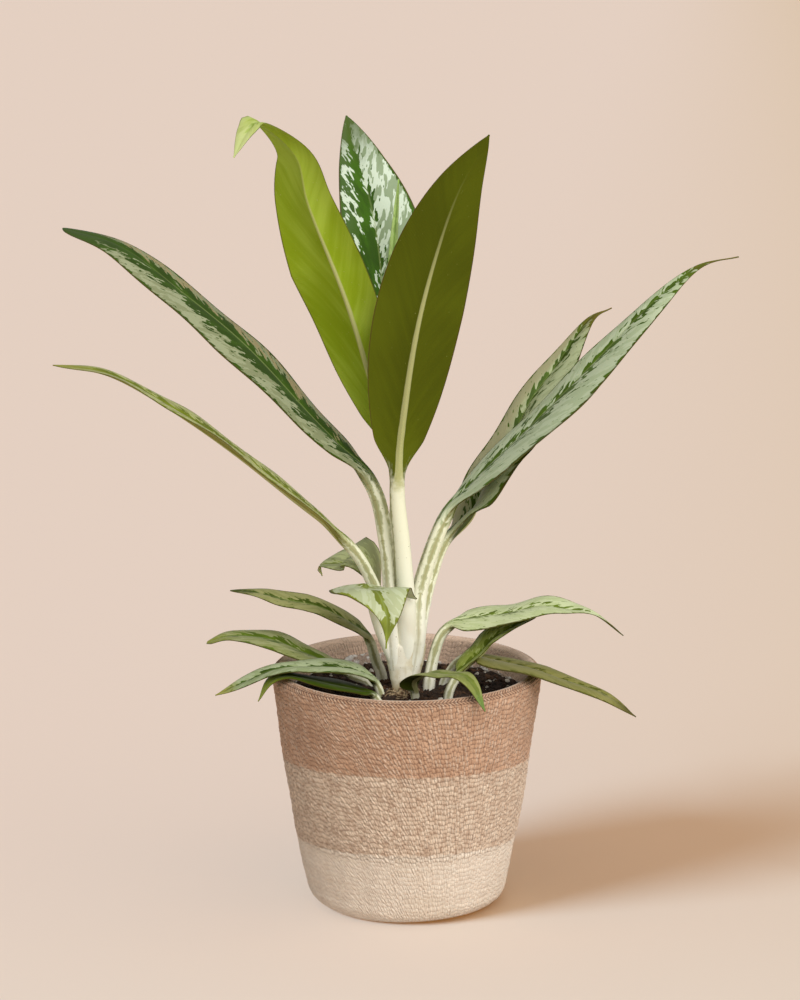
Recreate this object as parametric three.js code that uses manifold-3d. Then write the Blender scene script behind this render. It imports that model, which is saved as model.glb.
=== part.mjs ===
// A Chinese evergreen with pale, green-flecked leaves, planted in a round woven basket.
//
// Millimetres. +Z is up, +X is to the viewer's right and +Y is away from the viewer.
// The origin is the centre of the basket's underside.
//
// Each leaf is one body, its stalk and its blade together. A leaf is a ring of points carried along
// a smooth line: first the points of its stalk, then the points of its midrib. Along the stalk the
// ring is round with a shallow channel on top. Along the blade it is a thin, slightly folded strip.

import * as THREE from 'three';
import { mergeVertices } from 'three/addons/utils/BufferGeometryUtils.js';
import Module from 'manifold-3d';

const wasm = await Module();
wasm.setup();

// Driving dimensions of the basket
const BASKET_HEIGHT = 156.5;
const RIM_RADIUS = 87.5;
const BASE_RADIUS = 66;
const BASE_CORNER = 14;
const WALL = 7;
const RIM_ROLL = 4;
const FLOOR = 7;

// The plastic lining and the soil that fills it
const GAP = 0.3;
const LINER_WALL = 0.8;
const LINER_TOP = 143;
const SOIL_EDGE = 139;
const SOIL_MOUND = 4;
const ROOT_DEPTH = 126;

// The bundle of leaf sheaths that carries the tall leaves
const STEM_FOOT = [-2, -13];
const STEM_FOOT_RADIUS = [5, 4.5];
const STEM_TOP = 177;
const STEM_TOP_CENTRE = [-1, -8];
const STEM_TOP_RADIUS = [13.5, 9.5];

// The blades
const BLADE = 0.8;
const RIDGE = 0.7;
const TIP_HALF_WIDTH = 0.6;
const ROUNDNESS = 0.55;
const TAPER = 0.65;
const NECK = 0.12;
const ACROSS = [-1, -0.5, 0, 0.5, 1];
const STALK_STEP = 24;
const BLADE_STEP = 15;
const CLEARANCE = 0.35;

const TURN = 48;
const INNER_TURN = 40;
const rad = THREE.MathUtils.degToRad;
const smooth = (t) => THREE.MathUtils.smoothstep(t, 0, 1);

// The leaves. stalk and rib are points of the stalk and of the midrib. width is the blade's full
// width, azimuth the way it points seen from above, and radius the stalk's at its foot and neck.
// fold, roll and edge are angles along the blade, evenly spaced from its base to its tip: how far
// each half rises, how far the blade turns about its midrib, and how far each outer half rises more.
// lean makes one half wider, and wave is how far the margins rise and fall. The tall leaves stand on
// the stem, and a rooted leaf stands in a hole of its own in the soil.
const LEAVES = [
  {
    name: 'front_tall_leaf', azimuth: -80, width: 53, lean: -0.04, radius: [4.6, 3.8],
    stalk: [[0.4, -12.9, 177.3], [0, -12.5, 200], [-3, -12, 240]],
    rib: [
      [-6, -14, 281.5], [-0.5, -23, 337], [7.5, -36, 388], [19.5, -46, 436], [32, -56, 473],
      [50, -66, 508],
    ],
    roundness: 0.85, taper: 0.9,
    fold: [20, 16, 10], roll: [4, -11, -1], wave: 1.2, waves: 2, phase: 0,
  },
  {
    name: 'left_long_leaf', azimuth: 160, width: 37, lean: 0.25, radius: [3.8, 3.8],
    stalk: [[-7.9, -11.9, 177.3], [-9.3, -8, 200], [-13, -1, 240]],
    rib: [
      [-24, 6, 279], [-62.5, 13, 321], [-103, 22, 363.5], [-145, 29, 398], [-184, 34, 426.5],
      [-221.5, 37, 438],
    ],
    roundness: 0.62, taper: 0.52,
    fold: [0, -8, -4], roll: [-6, -10, -8], wave: 1.2, waves: 3, phase: 0.1,
  },
  {
    name: 'right_long_leaf', azimuth: 25, width: 52, lean: -0.32, radius: [4.2, 4],
    stalk: [[9.7, -11.3, 177.3], [9, -8, 192], [12, -1, 214]],
    rib: [
      [24.5, 9, 251], [39, 15, 272], [82, 27, 312], [122, 39, 350], [159.5, 50, 387], [190, 58, 410],
      [217, 63, 416],
    ],
    roundness: 0.92, taper: 1.9,
    fold: [0, 0, 6], roll: [-14, -2, 35], wave: 1.2, waves: 3, phase: 0.4,
  },
  {
    name: 'right_back_leaf', azimuth: 50, width: 61, lean: -0.5, radius: [3.2, 3.4],
    stalk: [[9.6, -3.4, 177.3], [13, 4, 193], [18, 15, 212]],
    rib: [
      [26, 23, 236], [42, 33, 247], [52.5, 45, 269.5], [67, 56, 290], [81, 67, 318],
      [100.5, 76, 343.5], [120, 81, 371], [136, 84, 379],
    ],
    roundness: 0.38, taper: 1.2,
    fold: [40, 40, 36, 30], roll: [-26, -13, 4, 8], wave: 1.2, waves: 2.5, phase: 0.2,
  },
  {
    name: 'left_thin_leaf', azimuth: 188, width: 42, radius: [3.2, 3.6],
    stalk: [[-10.4, -5, 177.3], [-14, -3.4, 192], [-22, -2, 214]],
    rib: [
      [-37, -6, 239], [-74, -12, 271], [-112, -18, 303], [-149, -22, 330], [-187, -24, 352],
      [-223, -24, 359],
    ],
    fold: [22, 18, 10], wave: 1.2, waves: 3, phase: 0.5,
  },
  {
    name: 'upper_left_leaf', azimuth: 235, width: 51, lean: -0.24, radius: [2.6, 2.8],
    stalk: [[-3.5, -3.7, 177.3], [-5, 0, 202], [-8, 5, 249]],
    rib: [
      [-9, 1, 291], [-25.5, -8, 355], [-39, -20, 402], [-60.5, -32, 460], [-68, -41, 492],
      [-89, -47, 512.5], [-97, -52, 509], [-106, -55, 493],
    ],
    roundness: 0.78, taper: 0.96,
    fold: [24, 20, 14], roll: [-7, 19, -19], wave: 1.2, waves: 2.5, phase: 0.3,
  },
  {
    name: 'back_tall_leaf', azimuth: 100, width: 60.5, lean: -0.08, radius: [2.6, 2.8],
    stalk: [[2.8, -2.5, 177.3], [2, 2, 205], [-5, 9, 250]],
    rib: [
      [-10.5, 14, 301], [-17, 21, 335], [-14.5, 31, 380], [-20, 44, 437], [-30.5, 53, 478.5],
      [-39, 62, 508],
    ],
    roundness: 0.77, taper: 0.86,
    fold: [24, 18, 8], roll: [-4, 14, 7], wave: 1.2, waves: 2.5, phase: 0.6,
  },
  {
    name: 'front_droop_leaf', azimuth: -80, width: 54.5, lean: 0.16, radius: [2.4, 2.2],
    stalk: [[-9, -12, 163], [-17.5, -15.5, 184], [-23, -16, 203]],
    rib: [[-26, -14, 213], [-24.5, -29, 215], [-18, -44, 216], [-12.5, -55, 203.5], [-13, -60, 184]],
    roundness: 0.41, taper: 1.78,
    fold: [-4, 0, 14, 10], roll: [-8, 0, 2], edge: [-20, -10, 0], wave: 0.8, waves: 2, phase: 0,
  },
  {
    name: 'back_hook_leaf', azimuth: 160, width: 39, lean: -0.16, radius: [2.4, 2.2],
    stalk: [[-5, -2.5, 163], [-13, 4, 188]],
    rib: [
      [-16, 9, 200.5], [-26, 13, 220], [-35, 17, 226], [-39, 19, 221.5], [-56, 20, 219],
      [-55, 20, 212],
    ],
    roundness: 1.06, taper: 1.24,
    fold: [10, 6, 6], roll: [25, -17, -3], wave: 0.8, waves: 2, phase: 0,
  },
  {
    name: 'new_leaf_spear', azimuth: 90, width: 7, radius: [1.5, 1.8],
    stalk: [[0.4, -6.8, 177.3], [1, 0, 230]],
    rib: [[-10, 8, 310], [-11, 10, 370], [-9, 12, 421], [-5, 17, 472]],
    fold: [60, 60, 60], wave: 0, waves: 1, phase: 0,
  },
  {
    name: 'left_upper_low_leaf', azimuth: 168, width: 20, lean: -0.03, radius: [3.4, 2.6], rooted: true,
    stalk: [[-15, 18, 130], [-16, 20, 145], [-20, 19, 156]],
    rib: [[-24, 15, 170], [-33, 9, 181.5], [-56, 4, 195], [-80, 1, 201], [-96, -2, 206], [-114, -4, 208]],
    roundness: 0.46, taper: 0.64,
    fold: [2, 0, 0], roll: [7, -16, -6], wave: 0.8, waves: 2, phase: 0,
  },
  {
    name: 'left_middle_low_leaf', azimuth: 178, width: 36, lean: 0.3, radius: [3, 2.4], rooted: true,
    stalk: [[-20, 3, 130], [-24, 7, 143]],
    rib: [
      [-36, 12, 147], [-53.5, 13, 156.5], [-67.5, 13, 162.5], [-89, 10, 172], [-114, 6, 175],
      [-130, 2, 171],
    ],
    roundness: 0.58, taper: 0.36,
    fold: [10, 10, 8], roll: [-8, -6, 3], wave: 0.8, waves: 2, phase: 0.3,
  },
  {
    name: 'left_front_low_leaf', azimuth: 190, width: 31.5, lean: 0.18, radius: [3, 2.4], rooted: true,
    stalk: [[-15, -16, 130]],
    rib: [
      [-19, -17, 149], [-35, -22, 160], [-66.5, -26, 163], [-84.5, -29, 162], [-104, -29, 154],
      [-123, -26, 144],
    ],
    roundness: 0.3, taper: 0.94,
    fold: [12, 12, 8], roll: [-4, 0, -22], wave: 0.8, waves: 2, phase: 0.6,
  },
  {
    name: 'left_rim_leaf', azimuth: 198, width: 28, radius: [2.8, 2.2], rooted: true,
    stalk: [[-14, -27, 130]],
    rib: [
      [-20, -28, 144], [-32, -30, 149], [-48, -32, 153], [-64, -33, 157], [-78, -34, 159],
      [-88, -36, 155], [-95, -37, 143],
    ],
    taper: 0.9,
    fold: [4, 0, 10], roll: [-4, 0, 4], wave: 0.6, waves: 2, phase: 0.6,
  },
  {
    name: 'front_rim_leaf', azimuth: -45, width: 22, lean: -0.3, radius: [2.8, 2.4], rooted: true,
    stalk: [[7, -25, 130], [6, -25, 140]],
    rib: [
      [5, -25, 146], [5, -29, 154], [11, -36, 160], [19, -46, 164], [28, -57, 166], [36, -67, 168],
      [43, -77, 163], [49, -85, 150],
    ],
    roundness: 0.5, taper: 0.9,
    fold: [10, 10, 10], wave: 0.5, waves: 2, phase: 0.6,
  },
  {
    name: 'right_folded_leaf', azimuth: 5, width: 22.5, lean: 0.08, radius: [3.4, 3], rooted: true,
    stalk: [[25, -26, 130], [27, -23, 145]],
    rib: [[32.5, -19, 155], [38.5, -15, 159.5], [48.5, -9, 166.5], [60, -2, 177], [84, 4, 188]],
    roundness: 0.48, taper: 0.42,
    fold: [45, 45, 20], roll: [-1, 12, -4], wave: 0.4, waves: 2, phase: 0.6,
  },
  {
    name: 'right_middle_leaf', azimuth: -5, width: 41, lean: -0.08, radius: [3.6, 2.6], rooted: true,
    stalk: [[13, -4, 130], [15, -2, 152], [20, 2, 172]],
    rib: [
      [26.5, 5, 181], [39, 4, 187.5], [63.5, 3, 191], [86.5, 1, 196.5], [106, -3, 195], [122, -8, 193],
      [140, -12, 180],
    ],
    roundness: 0.49, taper: 1.1,
    fold: [-8, -4, 10, 12], roll: [7, 4, 6, -23], wave: 1, waves: 2.76, phase: 0.4,
  },
  {
    name: 'right_low_leaf', azimuth: -12, width: 40.5, lean: -0.45, radius: [2.8, 2.2], rooted: true,
    stalk: [[21, 8, 130], [26, 11, 147]],
    rib: [
      [38, 9, 160.5], [58.5, 1, 160], [81, -18, 159.5], [98.5, -27, 155.5], [127, -34, 147],
      [147, -38, 133],
    ],
    roundness: 0.64, taper: 1.05,
    fold: [10, 10, 8], roll: [-4, -4, 9], wave: 0.8, waves: 2, phase: 0,
  },
];

const COLOURS = {
  basket: 0xb08a68, liner: 0xe8e4dc, soil: 0x33241b, stem: 0xe6e6cf, blade: 0x9fb58a,
};

function material(colour, roughness) {
  return new THREE.MeshStandardMaterial({ color: colour, roughness, metalness: 0 });
}

// The value at s, from 0 to 1, of a list of evenly spaced values.
function along(values, s) {
  const at = s * (values.length - 1);
  const k = Math.min(values.length - 2, Math.floor(at));
  return values.length === 1 ? values[0] : THREE.MathUtils.lerp(values[k], values[k + 1], at - k);
}

// The frames of a leaf, closer together at the blade's ends: its centre, the directions across and
// up, s along the blade (0 on the stalk) and t along the stalk (1 on the blade).
function leafFrames(leaf) {
  const points = [...leaf.stalk, ...leaf.rib].map((p) => new THREE.Vector3(...p));
  const line = new THREE.CatmullRomCurve3(points, false, 'catmullrom', 0.5);
  line.arcLengthDivisions = 400;
  const neckAt = leaf.stalk.length / (points.length - 1);
  const total = line.getLength();
  const neck = line.getLengths()[Math.round(neckAt * line.arcLengthDivisions)] / total;
  const stalkSteps = Math.max(2, Math.round(neck * total / STALK_STEP));
  const bladeSteps = Math.max(9, Math.round((1 - neck) * total / BLADE_STEP));
  const heading = rad(leaf.azimuth);
  const sideways = new THREE.Vector3(-Math.sin(heading), Math.cos(heading), 0);
  const frames = [];
  for (let i = 0; i <= stalkSteps + bladeSteps; i += 1) {
    const even = Math.max(0, (i - stalkSteps) / bladeSteps);
    const s = (even + (1 - Math.cos(Math.PI * even)) / 2) / 2;
    const t = Math.min(1, i / stalkSteps);
    const u = neck * t + (1 - neck) * s;
    const ahead = line.getTangentAt(u);
    const across = sideways.clone().addScaledVector(ahead, -ahead.dot(sideways)).normalize();
    across.applyAxisAngle(ahead, rad(along(leaf.roll ?? [0], s)));
    const up = new THREE.Vector3().crossVectors(ahead, across);
    frames.push({ centre: line.getPointAt(u), across, up, s, t });
  }
  return frames;
}

// Half the blade's width at s, as a share of its widest.
function outline(leaf, s) {
  const a = leaf.roundness ?? ROUNDNESS;
  const b = leaf.taper ?? TAPER;
  const widest = a / (a + b);
  return (s ** a * (1 - s) ** b) / (widest ** a * (1 - widest) ** b);
}

// One ring of a leaf: the upper points from edge to edge, then the lower points back.
function leafRing(leaf, frame, extra) {
  const { s } = frame;
  const stalk = THREE.MathUtils.lerp(leaf.radius[0], leaf.radius[1], frame.t);
  const opened = smooth(s / NECK);
  const ridge = RIDGE * (1 - s);
  const upper = [];
  const lower = [];
  for (const u of ACROSS) {
    const side = Math.sign(u);
    const reach = Math.abs(u);
    const half = leaf.width / 2 * outline(leaf, s) * (1 + (leaf.lean ?? 0) * side);
    const w = Math.max(TIP_HALF_WIDTH, half + stalk * (1 - s) ** 2) + extra;
    const outer = reach / 2;
    const angle = opened * rad(along(leaf.fold, s) * (1 - outer) + along(leaf.edge ?? [0], s) * outer);
    const ripple = leaf.waves * s + leaf.phase + (side > 0 ? 0.25 : 0);
    const wave = leaf.wave * u * u * Math.sin(2 * Math.PI * ripple) * Math.sin(Math.PI * s);
    const x = w * u * Math.cos(angle);
    const sheet = w * reach * Math.sin(angle) + wave;
    const top = THREE.MathUtils.lerp(stalk * (0.1 + 0.35 * u * u), BLADE / 2, opened);
    const thickness = BLADE / 2 + ridge * (1 - reach) ** 2;
    const under = THREE.MathUtils.lerp(stalk * Math.sqrt(1 - 0.8 * u * u), thickness, opened);
    const point = frame.centre.clone().addScaledVector(frame.across, x);
    upper.push(point.clone().addScaledVector(frame.up, sheet + top + extra));
    lower.push(point.addScaledVector(frame.up, sheet - under - extra));
  }
  return [...upper, ...lower.reverse()];
}

// A closed body from rings of equally many points. The upper and lower faces are split alike.
function bodyFromRings(rings) {
  const n = rings[0].length;
  const upper = n / 2;
  const triangles = [];
  for (let i = 0; i + 1 < rings.length; i += 1) {
    for (let j = 0; j < n; j += 1) {
      const k = (j + 1) % n;
      const [a, b, c, d] = [i * n + j, i * n + k, (i + 1) * n + k, (i + 1) * n + j];
      if (j < upper) triangles.push(a, c, b, a, d, c);
      else triangles.push(a, d, b, b, d, c);
    }
  }
  for (const [start, flip] of [[0, false], [(rings.length - 1) * n, true]]) {
    for (let j = 0; j + 1 < upper; j += 1) {
      const [a, b] = [start + j, start + j + 1];
      const [c, d] = [start + n - 2 - j, start + n - 1 - j];
      triangles.push(...(flip ? [a, d, b, b, d, c] : [a, b, d, b, c, d]));
    }
  }
  const vertProperties = new Float32Array(rings.flat().flatMap((p) => p.toArray()));
  const triVerts = new Uint32Array(triangles);
  return new wasm.Manifold(new wasm.Mesh({ numProp: 3, vertProperties, triVerts }));
}

function leafBody(leaf, extra = 0) {
  return bodyFromRings(leafFrames(leaf).map((frame) => leafRing(leaf, frame, extra)));
}

function manifoldOf(geometry) {
  const plain = geometry.clone();
  plain.deleteAttribute('normal');
  plain.deleteAttribute('uv');
  const merged = mergeVertices(plain, 1e-4);
  return new wasm.Manifold(new wasm.Mesh({
    numProp: 3,
    vertProperties: merged.attributes.position.array,
    triVerts: new Uint32Array(merged.index.array),
  }));
}

function geometryOf(body) {
  const mesh = body.getMesh();
  const geometry = new THREE.BufferGeometry();
  geometry.setAttribute('position', new THREE.BufferAttribute(mesh.vertProperties, 3));
  geometry.setIndex(new THREE.BufferAttribute(mesh.triVerts, 1));
  geometry.computeVertexNormals();
  return geometry;
}

// The largest separate piece of a body.
function largest(body) {
  return body.decompose().sort((a, b) => b.volume() - a.volume())[0];
}

// A body turned about +Z from its outline, a list of [radius, height] from the axis and back to it.
function turned(profile, segments = TURN) {
  const points = profile.map(([r, z]) => new THREE.Vector2(r, z));
  return new THREE.LatheGeometry(points, segments).rotateX(Math.PI / 2);
}

function arc(cx, cz, radius, from, to, steps) {
  return Array.from({ length: steps + 1 }, (_, i) => {
    const angle = rad(THREE.MathUtils.lerp(from, to, i / steps));
    return [cx + radius * Math.cos(angle), cz + radius * Math.sin(angle)];
  });
}

// The radius of the basket's inner wall at a height.
function innerRadius(z) {
  const low = BASE_RADIUS - WALL;
  const high = RIM_RADIUS - 2 * RIM_ROLL;
  return THREE.MathUtils.mapLinear(z, BASE_CORNER, BASKET_HEIGHT - RIM_ROLL, low, high);
}

function basketProfile() {
  const rim = [RIM_RADIUS - RIM_ROLL, BASKET_HEIGHT - RIM_ROLL];
  return [
    [0, 0],
    ...arc(BASE_RADIUS - BASE_CORNER, BASE_CORNER, BASE_CORNER, -90, 0, 5),
    ...arc(rim[0], rim[1], RIM_ROLL, 0, 180, 8),
    [innerRadius(FLOOR + 5), FLOOR + 5],
    [innerRadius(FLOOR) - 5, FLOOR],
    [0, FLOOR],
  ];
}

// The cup that lies against the basket's inside, from its outer face inwards.
function linerProfile() {
  const out = (z) => innerRadius(z) - GAP;
  const low = FLOOR + GAP;
  const inside = (z) => out(z) - LINER_WALL;
  return [
    [0, low], [out(low) - 6, low], [out(low + 6), low + 6], [out(LINER_TOP), LINER_TOP],
    [inside(LINER_TOP), LINER_TOP], [inside(low + 6), low + 6.6],
    [inside(low) - 6, low + LINER_WALL], [0, low + LINER_WALL],
  ];
}

function soilHeight(r) {
  return SOIL_EDGE + SOIL_MOUND * Math.cos(Math.min(1, r / 70) * Math.PI / 2) ** 2;
}

function soilBody() {
  const inside = (z) => innerRadius(z) - 2 * GAP - LINER_WALL;
  const low = FLOOR + 2 * GAP + LINER_WALL;
  const top = [];
  for (let r = inside(SOIL_EDGE) - 4; r > 6; r -= 12) top.push([r, soilHeight(r)]);
  return manifoldOf(turned([
    [0, low], [inside(low) - 6, low], [inside(low + 6), low + 7], [inside(SOIL_EDGE), SOIL_EDGE],
    ...top, [0, soilHeight(0)],
  ], INNER_TURN));
}

// The sheath bundle: an oval body that widens from its foot in the soil to the leaves' stalks.
function stemRings(extra) {
  const steps = 8;
  const sides = 20;
  const rings = [];
  for (let i = 0; i <= steps; i += 1) {
    const ends = { 0: -extra, [steps]: extra };
    const z = THREE.MathUtils.lerp(ROOT_DEPTH, STEM_TOP, i / steps) + (ends[i] ?? 0);
    const spread = smooth(i / steps);
    const between = (foot, top) => [0, 1].map((k) => THREE.MathUtils.lerp(foot[k], top[k], spread));
    const [cx, cy] = between(STEM_FOOT, STEM_TOP_CENTRE);
    const [rx, ry] = between(STEM_FOOT_RADIUS, STEM_TOP_RADIUS);
    rings.push(Array.from({ length: sides }, (_unused, j) => {
      const angle = -2 * Math.PI * j / sides;
      return new THREE.Vector3(cx + (rx + extra) * Math.cos(angle), cy + (ry + extra) * Math.sin(angle), z);
    }));
  }
  return rings;
}

const plant = new THREE.Group();
plant.name = 'potted_chinese_evergreen';

function add(name, geometry, finish) {
  const mesh = new THREE.Mesh(geometry, finish);
  mesh.name = name;
  plant.add(mesh);
}

add('basket', turned(basketProfile()), material(COLOURS.basket, 0.95));
add('liner', turned(linerProfile(), INNER_TURN), material(COLOURS.liner, 0.3));

const stem = bodyFromRings(stemRings(0));
const stemClear = bodyFromRings(stemRings(CLEARANCE));
let soil = soilBody().subtract(stemClear);
const placed = [];
for (const leaf of LEAVES) {
  let body = leafBody(leaf);
  for (const other of placed) body = body.subtract(other);
  body = largest(body.subtract(stemClear));
  const clear = leafBody(leaf, CLEARANCE);
  if (leaf.rooted) soil = soil.subtract(clear);
  placed.push(clear);
  add(leaf.name, geometryOf(body), material(COLOURS.blade, 0.45));
}
add('main_stem', geometryOf(stem), material(COLOURS.stem, 0.5));
add('soil', geometryOf(largest(soil)), material(COLOURS.soil, 1));

export default plant;
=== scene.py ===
# The looks of a potted Chinese evergreen: its leaves, stem, soil, film lining and woven basket.
#
# Metres, unless a note says millimetres. +Z is up, +X is to the viewer's right and +Y is away from
# the viewer. The origin is the centre of the basket's underside. Each piece stands for a CAD node,
# the three bands together for the basket, and the loose bits on the soil for none.
import math
import random
from collections import namedtuple

import bmesh
import bpy
import numpy as np
from mathutils import Euler, Matrix, Vector


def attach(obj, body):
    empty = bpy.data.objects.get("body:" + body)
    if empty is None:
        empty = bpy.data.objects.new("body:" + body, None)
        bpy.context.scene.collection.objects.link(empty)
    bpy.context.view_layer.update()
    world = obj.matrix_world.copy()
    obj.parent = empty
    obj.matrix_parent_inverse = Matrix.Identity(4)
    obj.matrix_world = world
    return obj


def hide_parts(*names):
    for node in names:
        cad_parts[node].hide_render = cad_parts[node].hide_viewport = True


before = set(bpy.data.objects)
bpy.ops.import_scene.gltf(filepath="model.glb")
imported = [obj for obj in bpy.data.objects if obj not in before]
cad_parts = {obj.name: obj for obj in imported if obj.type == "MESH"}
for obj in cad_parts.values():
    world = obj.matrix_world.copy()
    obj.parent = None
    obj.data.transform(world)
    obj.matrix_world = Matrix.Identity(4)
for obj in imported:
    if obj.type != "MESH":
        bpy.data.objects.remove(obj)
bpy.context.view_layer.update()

chance = random.Random(11)

BODY = "root"
MM = 0.001

# Sizes that the CAD model has too, apart from the joints, which are shares of the stem's height
BASKET_HEIGHT = 0.1565
RIM_RADIUS = 0.0875
BASE_RADIUS = 0.066
BASE_CORNER = 0.014
WALL = 0.007
RIM_ROLL = 0.004
FLOOR = 0.007
SOIL_EDGE = 0.139
SOIL_MOUND = 0.004
SOIL_RADIUS = 0.07
SOIL_GAP = 0.0014
STEM_BOTTOM = 0.126
STEM_FOOT = (-0.002, -0.013)
STEM_FOOT_RADIUS = (0.005, 0.0045)
STEM_TOP = 0.177
STEM_TOP_CENTRE = (-0.001, -0.008)
STEM_TOP_RADIUS = (0.0135, 0.0095)
STEM_JOINTS = (0.3, 0.5, 0.68)

# Leaves: where the blade opens out of its stalk, how thick it is, how it bulges, and how fine its
# mesh is, whose points crowd towards the midrib
TIP_HALF_WIDTH = 0.0005
NECK = 0.12
BLADE = 0.0006
RIDGE = 0.0012
RIDGE_HALF_WIDTH = 0.0018
GROOVE = 0.0005
ARCH = 0.05
FOLD_SOFTNESS = 0.06
HALVES_APART = 0.25
VEIN_SLANT = 0.9
VEIN_SPACING = 0.0085
VEIN_HEIGHT = 0.00022
STALK_STEP = 0.004
BLADE_STEP = 0.0026
ACROSS = 26
CROWDING = 1.4
STALK_TURN = 1.5
CHANNEL = 0.3
CHANNEL_HALF_WIDTH = 0.4

# Markings on the leaves: for each pattern of noise how fine it is along and across the leaf, where
# in the noise it is read, so that patterns differ, and its detail
STREAKS = (250, 340, 0, 2)
PATCHES = (85, 130, 5, 2)
SPECKS = (380, 420, 9, 1)
ISLANDS = (120, 170, 13, 2)
BRUSHED = (120, 26, 21, 3)
BROAD = (22, 30, 25, 1)
DOTS = (700, 700, 31, 1)
MOTTLE = (260, 420, 41, 3)
LOW_MOTTLE = (40, 90, 47, 2)
STALK_SPECKS = (700, 700, 51, 1)
SKIN = (1500, 1500, 0, 2)

# How far apart the leaves lie in the noise, how streaks slant towards the tip as they leave the
# midrib, on the upper side and the underside, how wide the change from one half's colours to the
# other's is, how dark the ground is beside the islands, how light fresh green is, and the pale
# midrib's half width and the finest veins' spacing
SEED_STEP = 3.7
STREAK_SLANT = 1.5
UNDER_SLANT = 2
HALF_EDGE = 0.0025
GROUND_SHADE = 0.88
FRESH_SHADE = 1.25
RIB_HALF_WIDTH = 0.0026
FINE_VEINS = 0.0021

# Colours as they look on a screen, from 0 to 255
MIDLINE = (140, 154, 92)
LEAF_EDGE = (78, 66, 26)
UNDER_EDGE = (80, 62, 24)
UNDER_DOTS = (176, 178, 104)
UNDER_RIB = (186, 186, 128)
STALK_FOOT = (242, 240, 226)
STALK_NECK = (234, 234, 206)
STALK_OLIVE = (130, 134, 58)
STALK_BROWN = (104, 88, 44)
STALK_STAIN = (170, 148, 102)
STALK_EDGE = (150, 134, 82)
STEM_PALE = (242, 236, 218)
STEM_BLOTCH = (206, 190, 150)
STEM_STREAK = (176, 160, 104)
STEM_SPECK = (120, 92, 54)
# The stem's own translucent brown, together with painted shade where the sheaths cross
STEM_STAIN_AND_SHADE = (176, 156, 108)
STEM_EARTH = (150, 118, 78)
TAN = (186, 146, 117)
TAN_PALE = (208, 168, 138)
TAN_DEEP = (176, 136, 107)
# The inner wall's paler yarn, made lighter still by painted light that lifts the shade it lies in
INSIDE_YARN_AND_PAINTED_LIGHT = (240, 208, 184)
BEIGE = (208, 182, 158)
BEIGE_PALE = (232, 210, 186)
BEIGE_DEEP = (182, 152, 128)
CREAM = (226, 210, 192)
CREAM_PALE = (236, 222, 204)
CREAM_DEEP = (216, 198, 176)
# A painted highlight along the crests of the slanting strands
STRAND_HIGHLIGHT = (238, 218, 196)
# Painted shade in the pits between the stitches: in the beige and cream bands, then in the tan band
PIT_PAINTED_SHADE = (122, 94, 72)
TAN_PIT_PAINTED_SHADE = (98, 64, 42)
FIBRE = (120, 88, 62)
FILM = (232, 216, 202)
GLINT = (254, 250, 244)
FLOOR_LEFT = (219, 214, 203)
# Painted shade: the floor darker and warmer towards the right
FLOOR_RIGHT_PAINTED_SHADE = (209, 200, 175)
# Painted light: the floor lighter towards the front
FLOOR_FRONT_PAINTED_LIGHT = (221, 222, 210)

# The stitches of the basket. Stitches are counted round the wall and rows up it, and the coloured
# bands end higher at the front than at the back. KNOTS, STRANDS, LONG_STRANDS and CHAIN_PITCH are
# how many of each there are to a stitch, and make whole numbers round the basket. A shift is how far
# each row is moved from the one below. ROW_WAVES are the height in rows, the number round the basket
# and the twist from row to row of the waves in a row.
COLUMNS = 176
POINTS_A_STITCH = 4
ROW = 0.0033
POINTS_A_ROW = 4
STITCH_DEPTH = 0.0013
BELLY = 0.0016
ROW_WAVES = [(0.16, 11, 0.9), (0.1, 37, -0.4)]
KNOT_STEP = 0.2
STITCH_SWAY = 0.35
KNOTS = 0.9375
STRANDS = 1.5
LONG_STRANDS = 1.3125
STRAND_SHIFT = 0.618
KNOT_SHIFT = 0.47
LONG_SHIFT = 0.382
CHAIN_PITCH = 1.25
CHAIN_TOP = 1.55
CHAIN_FINENESS = 1.4
CHAIN_POINT = 1.1
RIM_ROWS = 3.1
RIM_HEIGHT = 0.8
EDGE = 0.12
BAND_TOP = 0.0972
BAND_LOW = 0.044
BAND_SLOPE = 0.1
BAND_EDGE = 0.0008
CUT_LOW = 0.045
CUT_TOP = 0.101
INSIDE_LOW = 0.133
INSIDE_RELIEF = 0.35
AXIS_HOLE = 0.001
SWAY = 0.0003

# The film's edge, which stands highest at the back left
FILM_BOTTOM = 0.128
FILM_STEP = 0.0016
FILM_RINGS = 11
FILM_AROUND = 240
FILM_GAP = 0.0008
FILM_THICKNESS = 0.0002
FILM_HIGH_TURN = 109
FILM_HIGH_SPREAD = 0.34
FILM_HIGH = 0.0075
FILM_LOW = 0.004
FILM_WAVES = [(0.0008, 9), (0.0006, 31)]
FILM_CREASE = 0.006

# The soil's foot, the lumps in its top and the bits on it. Crumbs are made in batches, which is
# quicker than all at once. OFF_ROOTS is a direction that no root runs along.
SOIL_FOOT = 0.009
SOIL_RINGS = 60
SOIL_AROUND = 220
LUMP = 0.0011
GRAIN = 0.0006
BATCHES = 15
SCATTER = 0.073
SCATTER_SQUARE = 0.074
STEM_CLEAR = 0.006
CHIPS = 110
ROOTS = 22
ROOTS_AT_FRONT = 14
ROOT_STEP = 0.0015
OFF_ROOTS = (0.13, 0.21, 1.0)

# The photograph's view, and lights: their names, where each shines from, strength, colour, softness
# in degrees, whether it lights the floor or the plant, and whether it casts a shadow
CAMERA_PLACE = (-0.004226, -2.0, 0.695742)
CAMERA_DOWN = 12.098
LENS = 114.423
SENSOR = 36
WARM_WHITE = (1, 0.98, 0.95)
SUNS = [
    ("key", (0.42, -0.9, 0.75), 2.3, WARM_WHITE, 40, "plant", True),
    ("side", (1, -0.1, 0.5), 0.5, WARM_WHITE, 60, "plant", True),
    ("floor_key", (-0.735, -0.46, 0.5), 3.2, (0.62, 0.8, 1), 24, "floor", True),
    ("floor_warmth", (0, -0.3, 1), 1.25, (1, 0.36, 0.02), 60, "floor", False),
]
SKY = 0.4
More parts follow.
